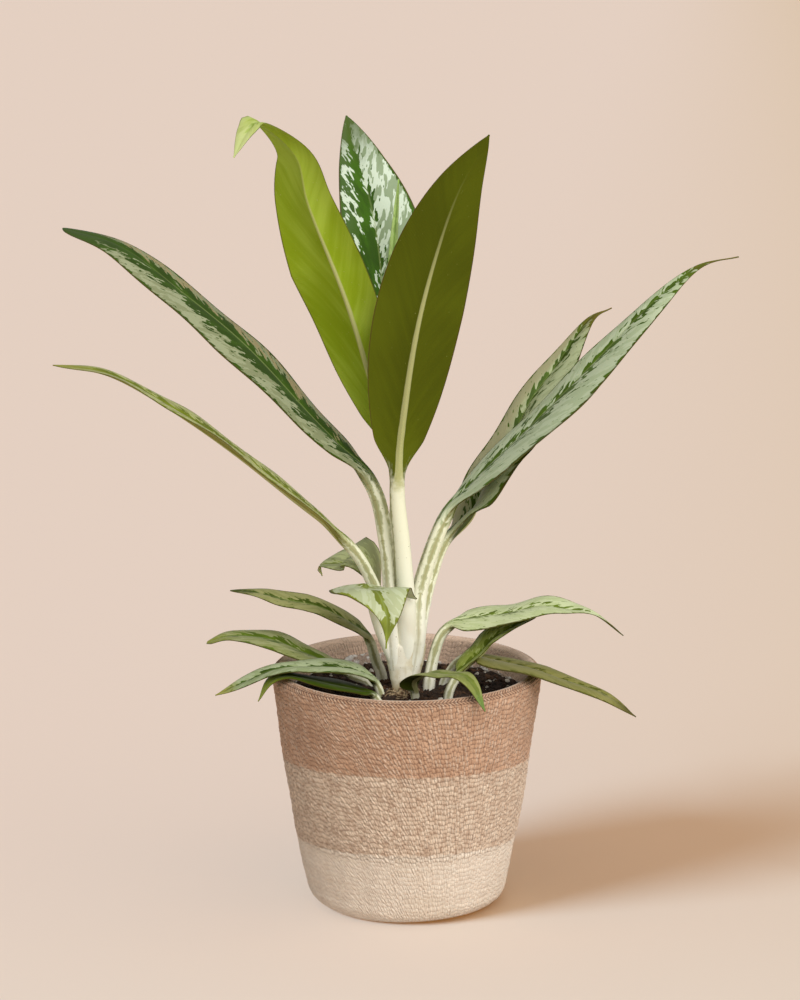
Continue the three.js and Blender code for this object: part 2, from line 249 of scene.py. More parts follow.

# What a leaf has unless its own entry says otherwise. Lengths are millimetres in this table, and left
# is as seen from the stem. stalk and rib are points of one smooth line, and azimuth is the way that
# the leaf points, in degrees round from +X. width is the blade's full width, lean how much wider its
# left half is, roundness and taper how its outline swells and narrows, and radius the stalk's at its
# foot and neck. fold, edge and roll are degrees at even steps from the blade's base to its tip: how
# far its halves fold up near the midrib and near the edge, and how far the blade turns about its
# midrib. wave, waves and phase are the height, number and start of the ripples at the edge.
# band is how far the dark centre reaches out and shift how far it lies to the left, as shares of a
# half. tip and margin are where the green of the tip and of the edge begins. flecks is how many dark
# flecks there are, dashes how ragged the dark centre is, and grain how fine its streaks are. pale is
# the colour of the islands, grey of the ground between them, dark of the green, and end of the tip
# beyond turns. far replaces pale on the right half, near replaces grey on the left, and side is a
# wash over the left. under and under_pale are the colours of the underside.
# Where near is given, the grey that stays on the right half is painted reflection, a sheen.
USUAL = dict(roll=[0], edge=[0], wave=0.8, waves=2, phase=0, band=0.3, shift=0, tip=0.85, flecks=0.4,
             dashes=0.8, grain=1, margin=0.92, pale=(190, 202, 170), dark=(60, 86, 22),
             under=(86, 96, 24), under_pale=(112, 122, 44), turns=0.82)
LEAVES = [
    dict(name="front_tall_leaf", azimuth=-80, width=53, lean=-0.04, roundness=0.85, taper=0.9,
         radius=(6.8, 4.8), fold=[20, 16, 10], roll=[4, -11, -1], wave=1.2,
         stalk=[(-1, -8.5, 150), (0.4, -11.5, 175), (0, -12.5, 200), (-3, -12, 240)],
         rib=[(-6, -14, 281.5), (-0.5, -23, 337), (7.5, -36, 388), (19.5, -46, 436), (32, -56, 473),
              (50, -66, 508)],
         under=(76, 83, 0), under_pale=(84, 92, 2)),
    dict(name="left_long_leaf", azimuth=160, width=37, lean=0.25, roundness=0.62, taper=0.52,
         radius=(5.6, 5), fold=[0, -8, -4], roll=[-6, -10, -8], wave=1.2, waves=3, phase=0.1,
         stalk=[(-6, -11, 158), (-7.9, -11.9, 177.3), (-9.3, -8, 200), (-13, -1, 240)],
         rib=[(-24, 6, 279), (-62.5, 13, 321), (-103, 22, 363.5), (-145, 29, 398), (-184, 34, 426.5),
              (-221.5, 37, 438)],
         band=0.42, tip=0.88, flecks=0.6, dashes=1.1, margin=0.9, pale=(154, 160, 126),
         grey=(136, 142, 106), dark=(48, 70, 16), far=(150, 138, 100), end=(60, 80, 30)),
    dict(name="right_long_leaf", azimuth=25, width=52, lean=-0.32, roundness=0.92, taper=1.9,
         radius=(6.2, 5.2), fold=[0, 0, 6], roll=[-14, -2, 35], wave=1.2, waves=3, phase=0.4,
         stalk=[(2, -10, 150), (6.5, -10.5, 178), (6.5, -8, 192), (9.5, -1, 214)],
         rib=[(23, 9, 250), (39, 15, 272), (82, 27, 312), (122, 39, 350), (159.5, 50, 387),
              (190, 58, 410), (217, 63, 416)],
         band=0.17, tip=0.84, dashes=1.7, grain=0.62, pale=(192, 204, 170), grey=(178, 192, 154),
         dark=(66, 90, 18), end=(112, 98, 36)),
    dict(name="right_back_leaf", azimuth=50, width=61, lean=-0.5, roundness=0.38, taper=1.2,
         radius=(4.6, 4.2), fold=[40, 40, 36, 30], roll=[-26, -13, 4, 8], wave=1.2, waves=2.5,
         phase=0.2,
         stalk=[(4, -7, 152), (8, -3.4, 177.3), (10.5, 3, 193), (15.5, 13, 212)],
         rib=[(25, 23, 235), (42, 33, 247), (52.5, 45, 269.5), (67, 56, 290), (81, 67, 318),
              (100.5, 76, 343.5), (120, 81, 371), (136, 84, 379)],
         band=0.17, tip=0.88, dashes=1.7, grain=0.62, pale=(180, 190, 148), grey=(168, 178, 136),
         dark=(64, 86, 20), side=(158, 152, 118), end=(112, 98, 36), under=(46, 58, 12),
         under_pale=(62, 78, 18)),
    dict(name="left_thin_leaf", azimuth=188, width=42, lean=0, roundness=0.55, taper=0.65,
         radius=(5.2, 4.2), fold=[22, 18, 10], wave=1.2, waves=3, phase=0.5,
         stalk=[(-7, -7, 160), (-10.4, -5, 177.3), (-14, -3.4, 192), (-22, -2, 214)],
         rib=[(-37, -6, 239), (-74, -12, 271), (-112, -18, 303), (-149, -22, 330), (-187, -24, 352),
              (-223, -24, 359)],
         band=0.4, tip=0.93, flecks=0.5, pale=(176, 180, 118), dark=(98, 108, 22), end=(150, 150, 70),
         under=(122, 122, 34), under_pale=(148, 146, 66)),
    dict(name="upper_left_leaf", azimuth=235, width=51, lean=-0.24, roundness=0.78, taper=0.96,
         radius=(3, 3), fold=[24, 20, 14], roll=[-7, 19, -19], wave=1.2, waves=2.5, phase=0.3,
         stalk=[(-3.5, -3.7, 177.3), (-5, 0, 202), (-8, 5, 249)],
         rib=[(-9, 1, 291), (-25.5, -8, 355), (-39, -20, 402), (-60.5, -32, 460), (-68, -41, 492),
              (-89, -47, 512.5), (-97, -52, 509), (-106, -55, 493)],
         band=0.1, tip=0.97, flecks=0.1, pale=(168, 184, 84), grey=(150, 168, 60),
         dark=(118, 142, 30), end=(204, 214, 150), turns=0.87, under=(132, 154, 20),
         under_pale=(160, 182, 60)),
    # The grey ground on this leaf's right half, beside the dark green near gives its left, is painted
    # reflection: a sheen.
    dict(name="back_tall_leaf", azimuth=100, width=60.5, lean=-0.08, roundness=0.77, taper=0.86,
         radius=(3, 3), fold=[24, 18, 8], roll=[-4, 14, 7], wave=1.2, waves=2.5, phase=0.6,
         stalk=[(2.8, -2.5, 177.3), (2, 2, 205), (-5, 9, 250)],
         rib=[(-10.5, 14, 301), (-17, 21, 335), (-14.5, 31, 380), (-20, 44, 437), (-30.5, 53, 478.5),
              (-39, 62, 508)],
         band=0.27, shift=0.26, tip=0.96, flecks=0.3, margin=0.9, pale=(208, 222, 202),
         grey=(144, 162, 128), dark=(50, 82, 10), near=(64, 96, 26), end=(74, 92, 34)),
    dict(name="front_droop_leaf", azimuth=-80, width=54.5, lean=0.16, roundness=0.41, taper=1.78,
         radius=(3, 2.6), fold=[-4, 0, 14, 10], roll=[-8, 0, 2], edge=[-20, -10, 0],
         stalk=[(-9, -12, 163), (-17.5, -15.5, 184), (-23, -16, 203)],
         rib=[(-26, -14, 213), (-24.5, -29, 215), (-18, -44, 216), (-12.5, -55, 203.5),
              (-13, -60, 184)],
         band=0.15, tip=0.72, flecks=0, dashes=0.9, grain=0.7, margin=0.9, pale=(190, 198, 162),
         grey=(178, 186, 144), dark=(112, 122, 44), under=(176, 184, 140), under_pale=(198, 204, 168)),
    dict(name="back_hook_leaf", azimuth=160, width=39, lean=-0.16, roundness=1.06, taper=1.24,
         radius=(3, 2.6), fold=[10, 6, 6], roll=[25, -17, -3],
         stalk=[(-5, -2.5, 163), (-13, 4, 188)],
         rib=[(-16, 9, 200.5), (-26, 13, 220), (-35, 17, 226), (-39, 19, 221.5), (-56, 20, 219),
              (-55, 20, 212)],
         band=0.08, tip=0.93, flecks=0.5, pale=(188, 196, 140), dark=(112, 124, 44),
         under=(178, 184, 118), under_pale=(198, 204, 146)),
    dict(name="new_leaf_spear", azimuth=90, width=7, lean=0, roundness=0.55, taper=0.65,
         radius=(1.8, 2), fold=[60, 60, 60], wave=0, waves=1,
         stalk=[(0.4, -6.8, 177.3), (1, 0, 230)],
         rib=[(-10, 8, 310), (-11, 10, 370), (-9, 12, 421), (-5, 17, 472)],
         band=0.1, tip=0.99, flecks=0.1, pale=(178, 204, 126), dark=(150, 184, 94),
         under=(162, 194, 106), under_pale=(186, 212, 136)),
    dict(name="left_upper_low_leaf", azimuth=168, width=20, lean=-0.03, roundness=0.46, taper=0.64,
         radius=(4.4, 3.4), fold=[2, 0, 0], roll=[7, -16, -6],
         stalk=[(-15, 18, 130), (-16, 20, 145), (-20, 19, 156)],
         rib=[(-24, 15, 170), (-33, 9, 181.5), (-56, 4, 195), (-80, 1, 201), (-96, -2, 206),
              (-114, -4, 208)],
         band=0.14, tip=0.94, flecks=0.3, dashes=1.5, grain=0.8, pale=(150, 150, 98),
         grey=(138, 140, 86), dark=(62, 78, 18), end=(70, 76, 30)),
    dict(name="left_middle_low_leaf", azimuth=178, width=36, lean=0.3, roundness=0.58, taper=0.36,
         radius=(3.6, 3), fold=[10, 10, 8], roll=[-8, -6, 3], phase=0.3,
         stalk=[(-20, 3, 130), (-24, 7, 143)],
         rib=[(-36, 12, 147), (-53.5, 13, 156.5), (-67.5, 13, 162.5), (-89, 10, 172), (-114, 6, 175),
              (-130, 2, 171)],
         band=0.22, tip=0.95, dashes=1.5, grain=0.8, pale=(162, 166, 114), grey=(146, 152, 92),
         dark=(82, 102, 20), end=(152, 158, 62)),
    dict(name="left_front_low_leaf", azimuth=190, width=31.5, lean=0.18, roundness=0.3, taper=0.94,
         radius=(3.6, 3), fold=[12, 12, 8], roll=[-4, 0, -22], phase=0.6,
         stalk=[(-15, -16, 130)],
         rib=[(-19, -17, 149), (-35, -22, 160), (-66.5, -26, 163), (-84.5, -29, 162),
              (-104, -29, 154), (-123, -26, 144)],
         band=0.12, tip=0.95, flecks=0.3, dashes=1.5, grain=0.8, pale=(172, 184, 144),
         grey=(156, 170, 124), dark=(58, 80, 22), end=(160, 158, 70), under=(58, 74, 16),
         under_pale=(82, 96, 26)),
    # This leaf is dark green all over but its tip: partly its own green, partly painted shade from the
    # low leaf above it.
    dict(name="left_rim_leaf", azimuth=198, width=28, lean=0, roundness=0.55, taper=0.9,
         radius=(3.2, 2.6), fold=[4, 0, 10], roll=[-4, 0, 4], wave=0.6, phase=0.6,
         stalk=[(-14, -27, 130)],
         rib=[(-20, -28, 144), (-32, -30, 149), (-48, -32, 153), (-64, -33, 157), (-78, -34, 159),
              (-88, -36, 155), (-95, -37, 143)],
         band=1.6, tip=0.6, flecks=0, dark=(60, 76, 16), end=(162, 178, 66), turns=0.6),
    dict(name="front_rim_leaf", azimuth=-45, width=22, lean=-0.3, roundness=0.5, taper=0.9,
         radius=(3.2, 2.8), fold=[10, 10, 10], wave=0.5, phase=0.6,
         stalk=[(7, -25, 130), (6, -25, 140)],
         rib=[(5, -25, 146), (5, -29, 154), (11, -36, 160), (19, -46, 164), (28, -57, 166),
              (36, -67, 168), (43, -77, 163), (49, -85, 150)],
         tip=0.9, flecks=0.1, pale=(146, 152, 88), grey=(132, 140, 72), dark=(108, 120, 50),
         end=(98, 128, 64), under=(56, 66, 12), under_pale=(74, 84, 22)),
    dict(name="right_folded_leaf", azimuth=5, width=22.5, lean=0.08, roundness=0.48, taper=0.42,
         radius=(3.6, 3.2), fold=[45, 45, 20], roll=[-1, 12, -4], wave=0.4, phase=0.6,
         stalk=[(25, -26, 130), (27, -23, 145)],
         rib=[(32.5, -19, 155), (38.5, -15, 159.5), (48.5, -9, 166.5), (60, -2, 177), (84, 4, 188)],
         band=0.25, tip=0.95, flecks=0.5, pale=(158, 170, 100), grey=(132, 144, 66),
         dark=(84, 98, 24), under=(78, 90, 20), under_pale=(112, 122, 42)),
    dict(name="right_middle_leaf", azimuth=-5, width=41, lean=-0.08, roundness=0.49, taper=1.1,
         radius=(4.8, 3.6), fold=[-8, -4, 10, 12], roll=[7, 4, 6, -23], wave=1, waves=2.76, phase=0.4,
         stalk=[(13, -4, 130), (15, -2, 152), (20, 2, 172)],
         rib=[(26.5, 5, 181), (39, 4, 187.5), (63.5, 3, 191), (86.5, 1, 196.5), (106, -3, 195),
              (122, -8, 193), (140, -12, 180)],
         band=0.09, tip=0.95, flecks=0.3, dashes=1.8, margin=0.94, pale=(210, 220, 172),
         grey=(198, 210, 156), dark=(92, 110, 32), end=(98, 88, 40)),
    dict(name="right_low_leaf", azimuth=-12, width=40.5, lean=-0.45, roundness=0.64, taper=1.05,
         radius=(3.4, 2.8), fold=[10, 10, 8], roll=[-4, -4, 9],
         stalk=[(21, 8, 130), (26, 11, 147)],
         rib=[(38, 9, 160.5), (58.5, 1, 160), (81, -18, 159.5), (98.5, -27, 155.5), (127, -34, 147),
              (147, -38, 133)],
         band=0.1, tip=0.95, flecks=0.3, dashes=1.6, pale=(140, 136, 78), grey=(130, 128, 66),
         dark=(78, 82, 22), end=(84, 76, 32)),
]


def shade(colour):
    """A colour given from 0 to 255 as the shaders want it. A value that isn't one stays as it is."""
    if not isinstance(colour, (tuple, list)):
        return colour
    parts = [c / 255 for c in colour]
    return tuple(c / 12.92 if c <= 0.04045 else ((c + 0.055) / 1.055) ** 2.4 for c in parts) + (1,)


class Value:
    """One number, vector or colour of a finish, whose operators add Math nodes."""

    def __init__(self, finish, socket):
        self.finish = finish
        self.socket = socket

    def math(self, operation, *values):
        return self.finish.node("ShaderNodeMath", {"operation": operation}, dict(enumerate(values)))

    def __add__(self, other):
        return self.math("ADD", self, other)

    __radd__ = __add__

    def __sub__(self, other):
        return self.math("SUBTRACT", self, other)

    def __rsub__(self, other):
        return self.math("SUBTRACT", other, self)

    def __mul__(self, other):
        return self.math("MULTIPLY", self, other)

    __rmul__ = __mul__

    def __pow__(self, other):
        return self.math("POWER", self, other)

    def __abs__(self):
        return self.math("ABSOLUTE", self)

    def above(self, low, high):
        """0 up to low and 1 from high, smoothly between."""
        settings = {"interpolation_type": "SMOOTHSTEP"}
        return self.finish.node("ShaderNodeMapRange", settings, {0: self, 1: low, 2: high})

    def below(self, low, high):
        return 1 - self.above(low, high)

    def most(self, *others):
        value = self
        for other in others:
            value = value.math("MAXIMUM", value, other)
        return value


class Finish:
    """A material and the nodes that make it."""

    def __init__(self, name):
        self.material = bpy.data.materials.new(name)
        self.material.use_nodes = True
        self.nodes = self.material.node_tree.nodes
        self.links = self.material.node_tree.links
        self.nodes.clear()

    def node(self, kind, settings=None, values=None, output=0):
        """Adds a node, sets it, fills its sockets with values or links, and returns one output."""
        made = self.nodes.new(kind)
        for name, setting in (settings or {}).items():
            setattr(made, name, setting)
        for key, value in (values or {}).items():
            socket = self.find(made.inputs, key)
            if isinstance(value, Value):
                self.links.new(value.socket, socket)
            else:
                socket.default_value = value
        return Value(self, self.find(made.outputs, output))

    @staticmethod
    def find(sockets, key):
        if isinstance(key, int):
            return sockets[key]
        return next(s for s in sockets if key in (s.identifier, s.name))

    def parts(self, vector):
        return [self.node("ShaderNodeSeparateXYZ", None, {0: vector}, k) for k in range(3)]

    def vector(self, x, y, z):
        return self.node("ShaderNodeCombineXYZ", None, {0: x, 1: y, 2: z})

    def attribute(self, name):
        return self.node("ShaderNodeAttribute", {"attribute_name": name}, None, "Vector")

    def place(self):
        return self.node("ShaderNodeTexCoord", None, None, "Object")

    def noise(self, vector, scale=1, detail=2, roughness=0.5, distortion=0):
        values = {"Vector": vector, "Scale": scale, "Detail": detail, "Roughness": roughness,
                  "Distortion": distortion}
        return self.node("ShaderNodeTexNoise", None, values)

    def white_noise(self, x, y, z):
        """A number from 0 to 1 for each whole x, y and z."""
        return self.node("ShaderNodeTexWhiteNoise", {"noise_dimensions": "3D"},
                         {"Vector": self.vector(x, y, z)})

    def mix(self, factor, first, second):
        values = {"Factor_Float": factor, "A_Color": shade(first), "B_Color": shade(second)}
        return self.node("ShaderNodeMix", {"data_type": "RGBA"}, values, "Result_Color")

    def coats(self, ground, *coats):
        """Lays coats over a ground colour, each given as how much it covers and its colour."""
        for cover, colour in coats:
            ground = self.mix(cover, ground, colour)
        return ground

    def bump(self, height, strength, distance):
        values = {"Height": height, "Strength": strength, "Distance": distance}
        return self.node("ShaderNodeBump", None, values)

    def close(self, **values):
        """Ends the finish with a Principled shader that takes these values."""
        named = {key.replace("_", " "): value for key, value in values.items()}
        shader = self.node("ShaderNodeBsdfPrincipled", None, named)
        output = self.nodes.new("ShaderNodeOutputMaterial")
        self.links.new(shader.socket, output.inputs["Surface"])
        return self.material


def made_mesh(bm, name="part"):
    mesh = bpy.data.meshes.new(name)
    bm.to_mesh(mesh)
    bm.free()
    return mesh


def placed(name, data):
    """Puts a mesh, a light or a camera into the scene, at the origin."""
    thing = bpy.data.objects.new(name, data)
    bpy.context.scene.collection.objects.link(thing)
    return thing


def piece_from(bm, name, finish, slot, *nodes):
    """Turns a finished bmesh into a piece that rides on the basket and stands for its CAD nodes."""
    mesh = made_mesh(bm, name)
    mesh.polygons.foreach_set("use_smooth", np.ones(len(mesh.polygons), dtype=bool))
    mesh.materials.append(finish)
    piece = placed(name, mesh)
    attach(piece, BODY)
    if nodes:
        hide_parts(*nodes)
    return piece


def keep_vectors(piece, name, values):
    """Stores one vector for each of a piece's points, for its finish to read."""
    attribute = piece.data.attributes.new(name, "FLOAT_VECTOR", "POINT")
    attribute.data.foreach_set("vector", np.asarray(values, dtype=np.float32).ravel())


def sleeve(rings, around, capped=True):
    """A tube of rings, with the ring of each of its points and its place around it."""
    bm = bmesh.new()
    bmesh.ops.create_cone(bm, cap_ends=capped, segments=around, radius1=1, radius2=1, depth=1)
    sides = [e for e in bm.edges if abs(e.verts[0].co.z - e.verts[1].co.z) > 0.5]
    bmesh.ops.subdivide_edges(bm, edges=sides, cuts=rings - 2, use_grid_fill=True)
    ring = [round((v.co.z + 0.5) * (rings - 1)) for v in bm.verts]
    turns = [(math.atan2(v.co.y, v.co.x) - math.pi / 2) / math.tau for v in bm.verts]
    return bm, np.array(ring), np.array([round(t * around) % around for t in turns])


def set_points(bm, places):
    for vertex, place in zip(bm.verts, places):
        vertex.co = place
    bmesh.ops.recalc_face_normals(bm, faces=bm.faces)


def skinned(points):
    """A closed tube through rings of points, with the ring and the place round it of each vertex."""
    bm, ring, turn = sleeve(*points.shape[:2])
    set_points(bm, points[ring, turn])
    return bm, ring, turn


def spun(profile, steps):
    """A surface of revolution from an outline of (radius, height)."""
    bm = bmesh.new()
    verts = [bm.verts.new((radius, 0, height)) for radius, height in profile]
    edges = [bm.edges.new(pair) for pair in zip(verts, verts[1:])]
    bmesh.ops.spin(bm, geom=verts + edges, cent=(0, 0, 0), axis=(0, 0, 1), dvec=(0, 0, 0),
                   angle=math.tau, steps=steps, use_merge=True)
    bmesh.ops.remove_doubles(bm, verts=bm.verts, dist=1e-6)
    bmesh.ops.recalc_face_normals(bm, faces=bm.faces)
    return bm


class Line:
    """A smooth line through points, which can be read at any share of its length."""

    SAMPLES = 1200

    def __init__(self, points):
        given = np.array(points, dtype=float)
        self.count = len(given)
        self.points = np.vstack([2 * given[0] - given[1], given, 2 * given[-1] - given[-2]])
        self.steps = np.linspace(0, self.count - 1, self.SAMPLES)
        gaps = np.linalg.norm(np.diff(self.at_step(self.steps)[0], axis=0), axis=1)
        self.lengths = np.concatenate([[0], np.cumsum(gaps)])

    def at_step(self, step):
        """Places and directions at steps, where a whole step is one of the points. Between two
        points runs a cubic whose direction at each is that from its neighbour to the next."""
        whole = np.clip(np.floor(step).astype(int), 0, self.count - 2)
        f = (step - whole)[:, None]
        p0, p1, p2, p3 = (self.points[whole + k] for k in range(4))
        m1, m2 = (p2 - p0) / 2, (p3 - p1) / 2
        place = ((2 * f**3 - 3 * f**2 + 1) * p1 + (f**3 - 2 * f**2 + f) * m1
                 + (3 * f**2 - 2 * f**3) * p2 + (f**3 - f**2) * m2)
        ahead = ((6 * f**2 - 6 * f) * (p1 - p2) + (3 * f**2 - 4 * f + 1) * m1
                 + (3 * f**2 - 2 * f) * m2)
        return place, ahead / np.linalg.norm(ahead, axis=1)[:, None]

    def at_length(self, length):
        return self.at_step(np.interp(length, self.lengths, self.steps))

    def length_to(self, step):
        return float(np.interp(step, self.steps, self.lengths))


def smoothstep(values):
    t = np.clip(values, 0, 1)
    return t * t * (3 - 2 * t)


def along(values, s):
    """The values at s, from 0 to 1, of a list of evenly spaced values."""
    return np.interp(s, np.linspace(0, 1, len(values)), values) if len(values) > 1 else values[0]


def turned(vectors, axes, angles):
    """Vectors turned about unit axes that they are square to."""
    return vectors * np.cos(angles)[:, None] + np.cross(axes, vectors) * np.sin(angles)[:, None]


def leaf_frames(leaf):
    """For each ring of a leaf: its centre, the directions across and up, s along the blade, t along
    the stalk and the distance from the neck."""
    line = Line(np.array(leaf["stalk"] + leaf["rib"]) * MM)
    total = line.lengths[-1]
    neck = line.length_to(len(leaf["stalk"]))
    stalk_rings = max(3, round(neck / STALK_STEP))
    blade_rings = max(24, round((total - neck) / BLADE_STEP))
    even = np.linspace(0, 1, blade_rings + 1)
    s = np.concatenate([np.zeros(stalk_rings), (even + (1 - np.cos(np.pi * even)) / 2) / 2])
    t = np.concatenate([np.arange(stalk_rings) / stalk_rings, np.ones(blade_rings + 1)])
    length = neck * t + (total - neck) * s
    centre, ahead = line.at_length(length)
    heading = math.radians(leaf["azimuth"])
    sideways = np.array([-math.sin(heading), math.cos(heading), 0])
    across = sideways - ahead * (ahead @ sideways)[:, None]
    across /= np.linalg.norm(across, axis=1)[:, None]
    across = turned(across, ahead, np.radians(along(leaf["roll"], s)) * np.ones(len(s)))
    return centre, across, np.cross(ahead, across), s, t, length - neck


def outline(leaf, s):
    """Half the blade's width at s, as a share of its widest."""
    a, b = leaf["roundness"], leaf["taper"]
    widest = a / (a + b)
    return (s**a * (1 - s) ** b) / (widest**a * (1 - widest) ** b)


def leaf_surface(leaf, number):
    """The points of a leaf, ring by ring, first across its upper side and back across its lower one,
    with what its finish reads at each: its place along, across and in the noise, and how far along
    the blade or stalk it is, how near the edge, and on which side."""
    centre, across, up, s, t, distance = (v[:, None] for v in leaf_frames(leaf))
    even = np.linspace(-1, 1, ACROSS)
    u = (np.sign(even) * np.abs(even) ** CROWDING)[None, :]
    turn = (even * STALK_TURN)[None, :]
    reach = np.abs(u)
    half = leaf["width"] * MM / 2 * outline(leaf, s) * (1 + leaf["lean"] * np.sign(u))
    foot, neck = (radius * MM for radius in leaf["radius"])
    stalk = foot + (neck - foot) * t
    width = np.maximum(TIP_HALF_WIDTH, half + stalk * (1 - s) ** 2)
    opened = smoothstep(s / NECK)
    outer = reach / 2
    fold = along(leaf["fold"], s) * (1 - outer) + along(leaf["edge"], s) * outer
    angle = opened * np.radians(fold)
    ripple = leaf["waves"] * s + leaf["phase"] + np.where(u > 0, HALVES_APART, 0)
    wave = leaf["wave"] * MM * u * u * np.sin(math.tau * ripple) * np.sin(np.pi * s)
    soft = np.sqrt(reach**2 + FOLD_SOFTNESS**2) - FOLD_SOFTNESS
    arch = ARCH * width * np.sin(np.pi * reach) * opened
    off = width * reach
    veins = np.sin((distance - VEIN_SLANT * off) * math.tau / VEIN_SPACING)
    quilt = VEIN_HEIGHT * veins * opened * smoothstep(reach * 4) * (1 - reach) * (1 - s)
    sheet = width * soft * np.sin(angle) + wave + arch + quilt
    rib = np.exp(-((off / RIDGE_HALF_WIDTH) ** 2)) * (1 - s) ** 0.7
    thin = BLADE / 2 * (1 - 0.5 * reach**4)
    channel = 1 - CHANNEL * np.exp(-((even / CHANNEL_HALF_WIDTH) ** 2))[None, :]
    top = stalk * np.cos(turn) * channel * (1 - opened) + (thin - GROOVE * rib) * opened
    belly = stalk * np.cos(turn) * (1 - opened) + (thin + RIDGE * rib) * opened
    x = stalk * np.sin(turn) * (1 - opened) + width * u * np.cos(angle) * opened
    flat = centre + across * x[:, :, None]
    points = both_sides(flat + up * (sheet + top)[:, :, None],
                        flat + up * (sheet - belly)[:, :, None])
    wide = both_sides(width * u, width * u)
    edge = np.broadcast_to(both_sides(reach, reach), wide.shape)
    place = np.stack([np.broadcast_to(distance, wide.shape), wide,
                      np.full_like(wide, number * SEED_STEP)], axis=2)
    zone = np.stack([np.broadcast_to(np.where(s > 0, s, t - 1), wide.shape), edge,
                     both_sides(np.zeros_like(x), np.ones_like(x))], axis=2)
    return points, place, zone


def both_sides(upper, lower):
    """Rings that run across the upper side and back across the lower one."""
    return np.concatenate([upper, lower[:, ::-1]], axis=1)


# What a leaf's finish knows of a point: its distance from the neck and from the midrib, the leaf's
# place in the noise, s along the blade or below 0 on the stalk, how near it is to the edge, and 1 on
# the underside
Spot = namedtuple("Spot", "distance across seed s reach under")


def leaf_noise(finish, pattern, run, spot, fineness=1):
    """A pattern of noise on a leaf, from -0.5 to 0.5. run is the distance along that it follows."""
    along_leaf, across_leaf, offset, detail = pattern
    place = finish.vector(run * (along_leaf * fineness), spot.across * (across_leaf * fineness),
                          spot.seed + offset)
    return finish.noise(place, detail=detail) - 0.5


def blade_top(leaf, finish, spot):
    """The blade's upper side: grey-green with pale islands, a ragged dark centre, dark flecks, a thin
    uneven margin, and a tip of a colour of its own."""
    off = abs(spot.across)
    vein = spot.distance - STREAK_SLANT * off
    streaks = leaf_noise(finish, STREAKS, vein, spot, leaf["grain"])
    patches, specks, islands = (leaf_noise(finish, pattern, vein, spot)
                                for pattern in (PATCHES, SPECKS, ISLANDS))
    feather = streaks * leaf["dashes"] + patches * 0.9
    band, tip, rim = leaf["band"], leaf["tip"], leaf["margin"]
    aside = abs(spot.reach * spot.across.math("SIGN", spot.across) - leaf["shift"])
    centre = (aside + feather).below(band - 0.02, band + 0.02)
    end = (spot.s + feather * 0.3).above(tip, tip + 0.03)
    margin = (spot.reach + streaks * 0.3 + patches * 0.2).above(rim, rim + 0.03)
    rare = 0.26 - 0.12 * leaf["flecks"]
    fleck = (specks + streaks * 0.3).above(rare, rare + 0.02)
    green = centre.most(end, margin, fleck)
    light = leaf["pale"]
    ground = leaf.get("grey", [round(c * GROUND_SHADE) for c in light])
    if "far" in leaf:
        light = finish.mix(spot.across.above(0, HALF_EDGE), leaf["far"], light)
    # near gives the left half a dark green ground, and the grey kept on the right half is painted
    # reflection, a sheen
    if "near" in leaf:
        ground = finish.mix(spot.across.above(0, HALF_EDGE), ground, leaf["near"])
    silver = finish.mix((islands + streaks * 0.4).above(-0.02, 0.01), ground, light)
    if "side" in leaf:
        wash = spot.across.above(0, HALF_EDGE) * spot.reach.above(0.05, 0.5)
        silver = finish.mix(wash * 0.8, silver, leaf["side"])
    fresh = [min(255, round(c * FRESH_SHADE)) for c in leaf["dark"]]
    midline = off.below(0.0003, 0.0009) * spot.s.below(0.5, 0.95)
    coats = [(green, finish.mix(patches.above(-0.15, 0.2), leaf["dark"], fresh)),
             (midline * 0.5, MIDLINE)]
    if "end" in leaf:
        tipped = (spot.s + streaks * 0.1).above(leaf["turns"], 0.97)
        coats.append((tipped * 0.85, leaf["end"]))
    return finish.coats(silver, *coats, (spot.reach.above(0.94, 0.98) * 0.75, LEAF_EDGE))


def blade_underside(leaf, finish, spot):
    """The blade's underside: plain olive with faint streaks along its veins, a few pale specks and
    a thick pale midrib that runs out towards the tip."""
    off = abs(spot.across)
    brush = leaf_noise(finish, BRUSHED, spot.distance - UNDER_SLANT * off, spot)
    broad, dots = (leaf_noise(finish, pattern, spot.distance, spot) for pattern in (BROAD, DOTS))
    rib = (off - RIB_HALF_WIDTH * (1 - spot.s) + brush * 0.0006).below(-0.0004, 0.0004)
    return finish.coats(leaf["under"],
                        ((brush * 0.4 + broad * 0.6).above(-0.14, 0.18), leaf["under_pale"]),
                        (dots.above(0.27, 0.29) * 0.5, UNDER_DOTS),
                        (rib * spot.s.below(0.45, 0.92) * 0.85, UNDER_RIB),
                        (spot.reach.above(0.97, 0.985) * 0.7, UNDER_EDGE))


def stalk_colour(finish, spot, mottle):
    """The stalk: cream, whiter at its foot, with olive mottling along its sides and channel near
    the blade, brown stains low down, a thin tan edge and a few brown specks."""
    low = leaf_noise(finish, LOW_MOTTLE, spot.distance, spot)
    mottled = mottle * 0.9 + low * 0.7
    side = (spot.reach + mottled * 0.8).above(0.66, 0.9)
    channel = (1 - spot.under) * (mottled * 1.3 - spot.reach).above(-0.35, 0.1)
    olive = side.most(channel) * spot.s.above(-1, -0.35)
    specks = leaf_noise(finish, STALK_SPECKS, spot.distance, spot)
    stain = low.above(-0.05, 0.15) * spot.s.below(-0.9, -0.55)
    edge = (spot.reach + mottled * 0.2).above(0.92, 1.02)
    return finish.coats(STALK_FOOT,
                        (spot.s.above(-1, -0.1), STALK_NECK),
                        (olive * 0.68, STALK_OLIVE),
                        (specks.above(0.23, 0.26) * 0.6, STALK_BROWN),
                        (stain * 0.45, STALK_STAIN),
                        (edge * 0.35, STALK_EDGE))


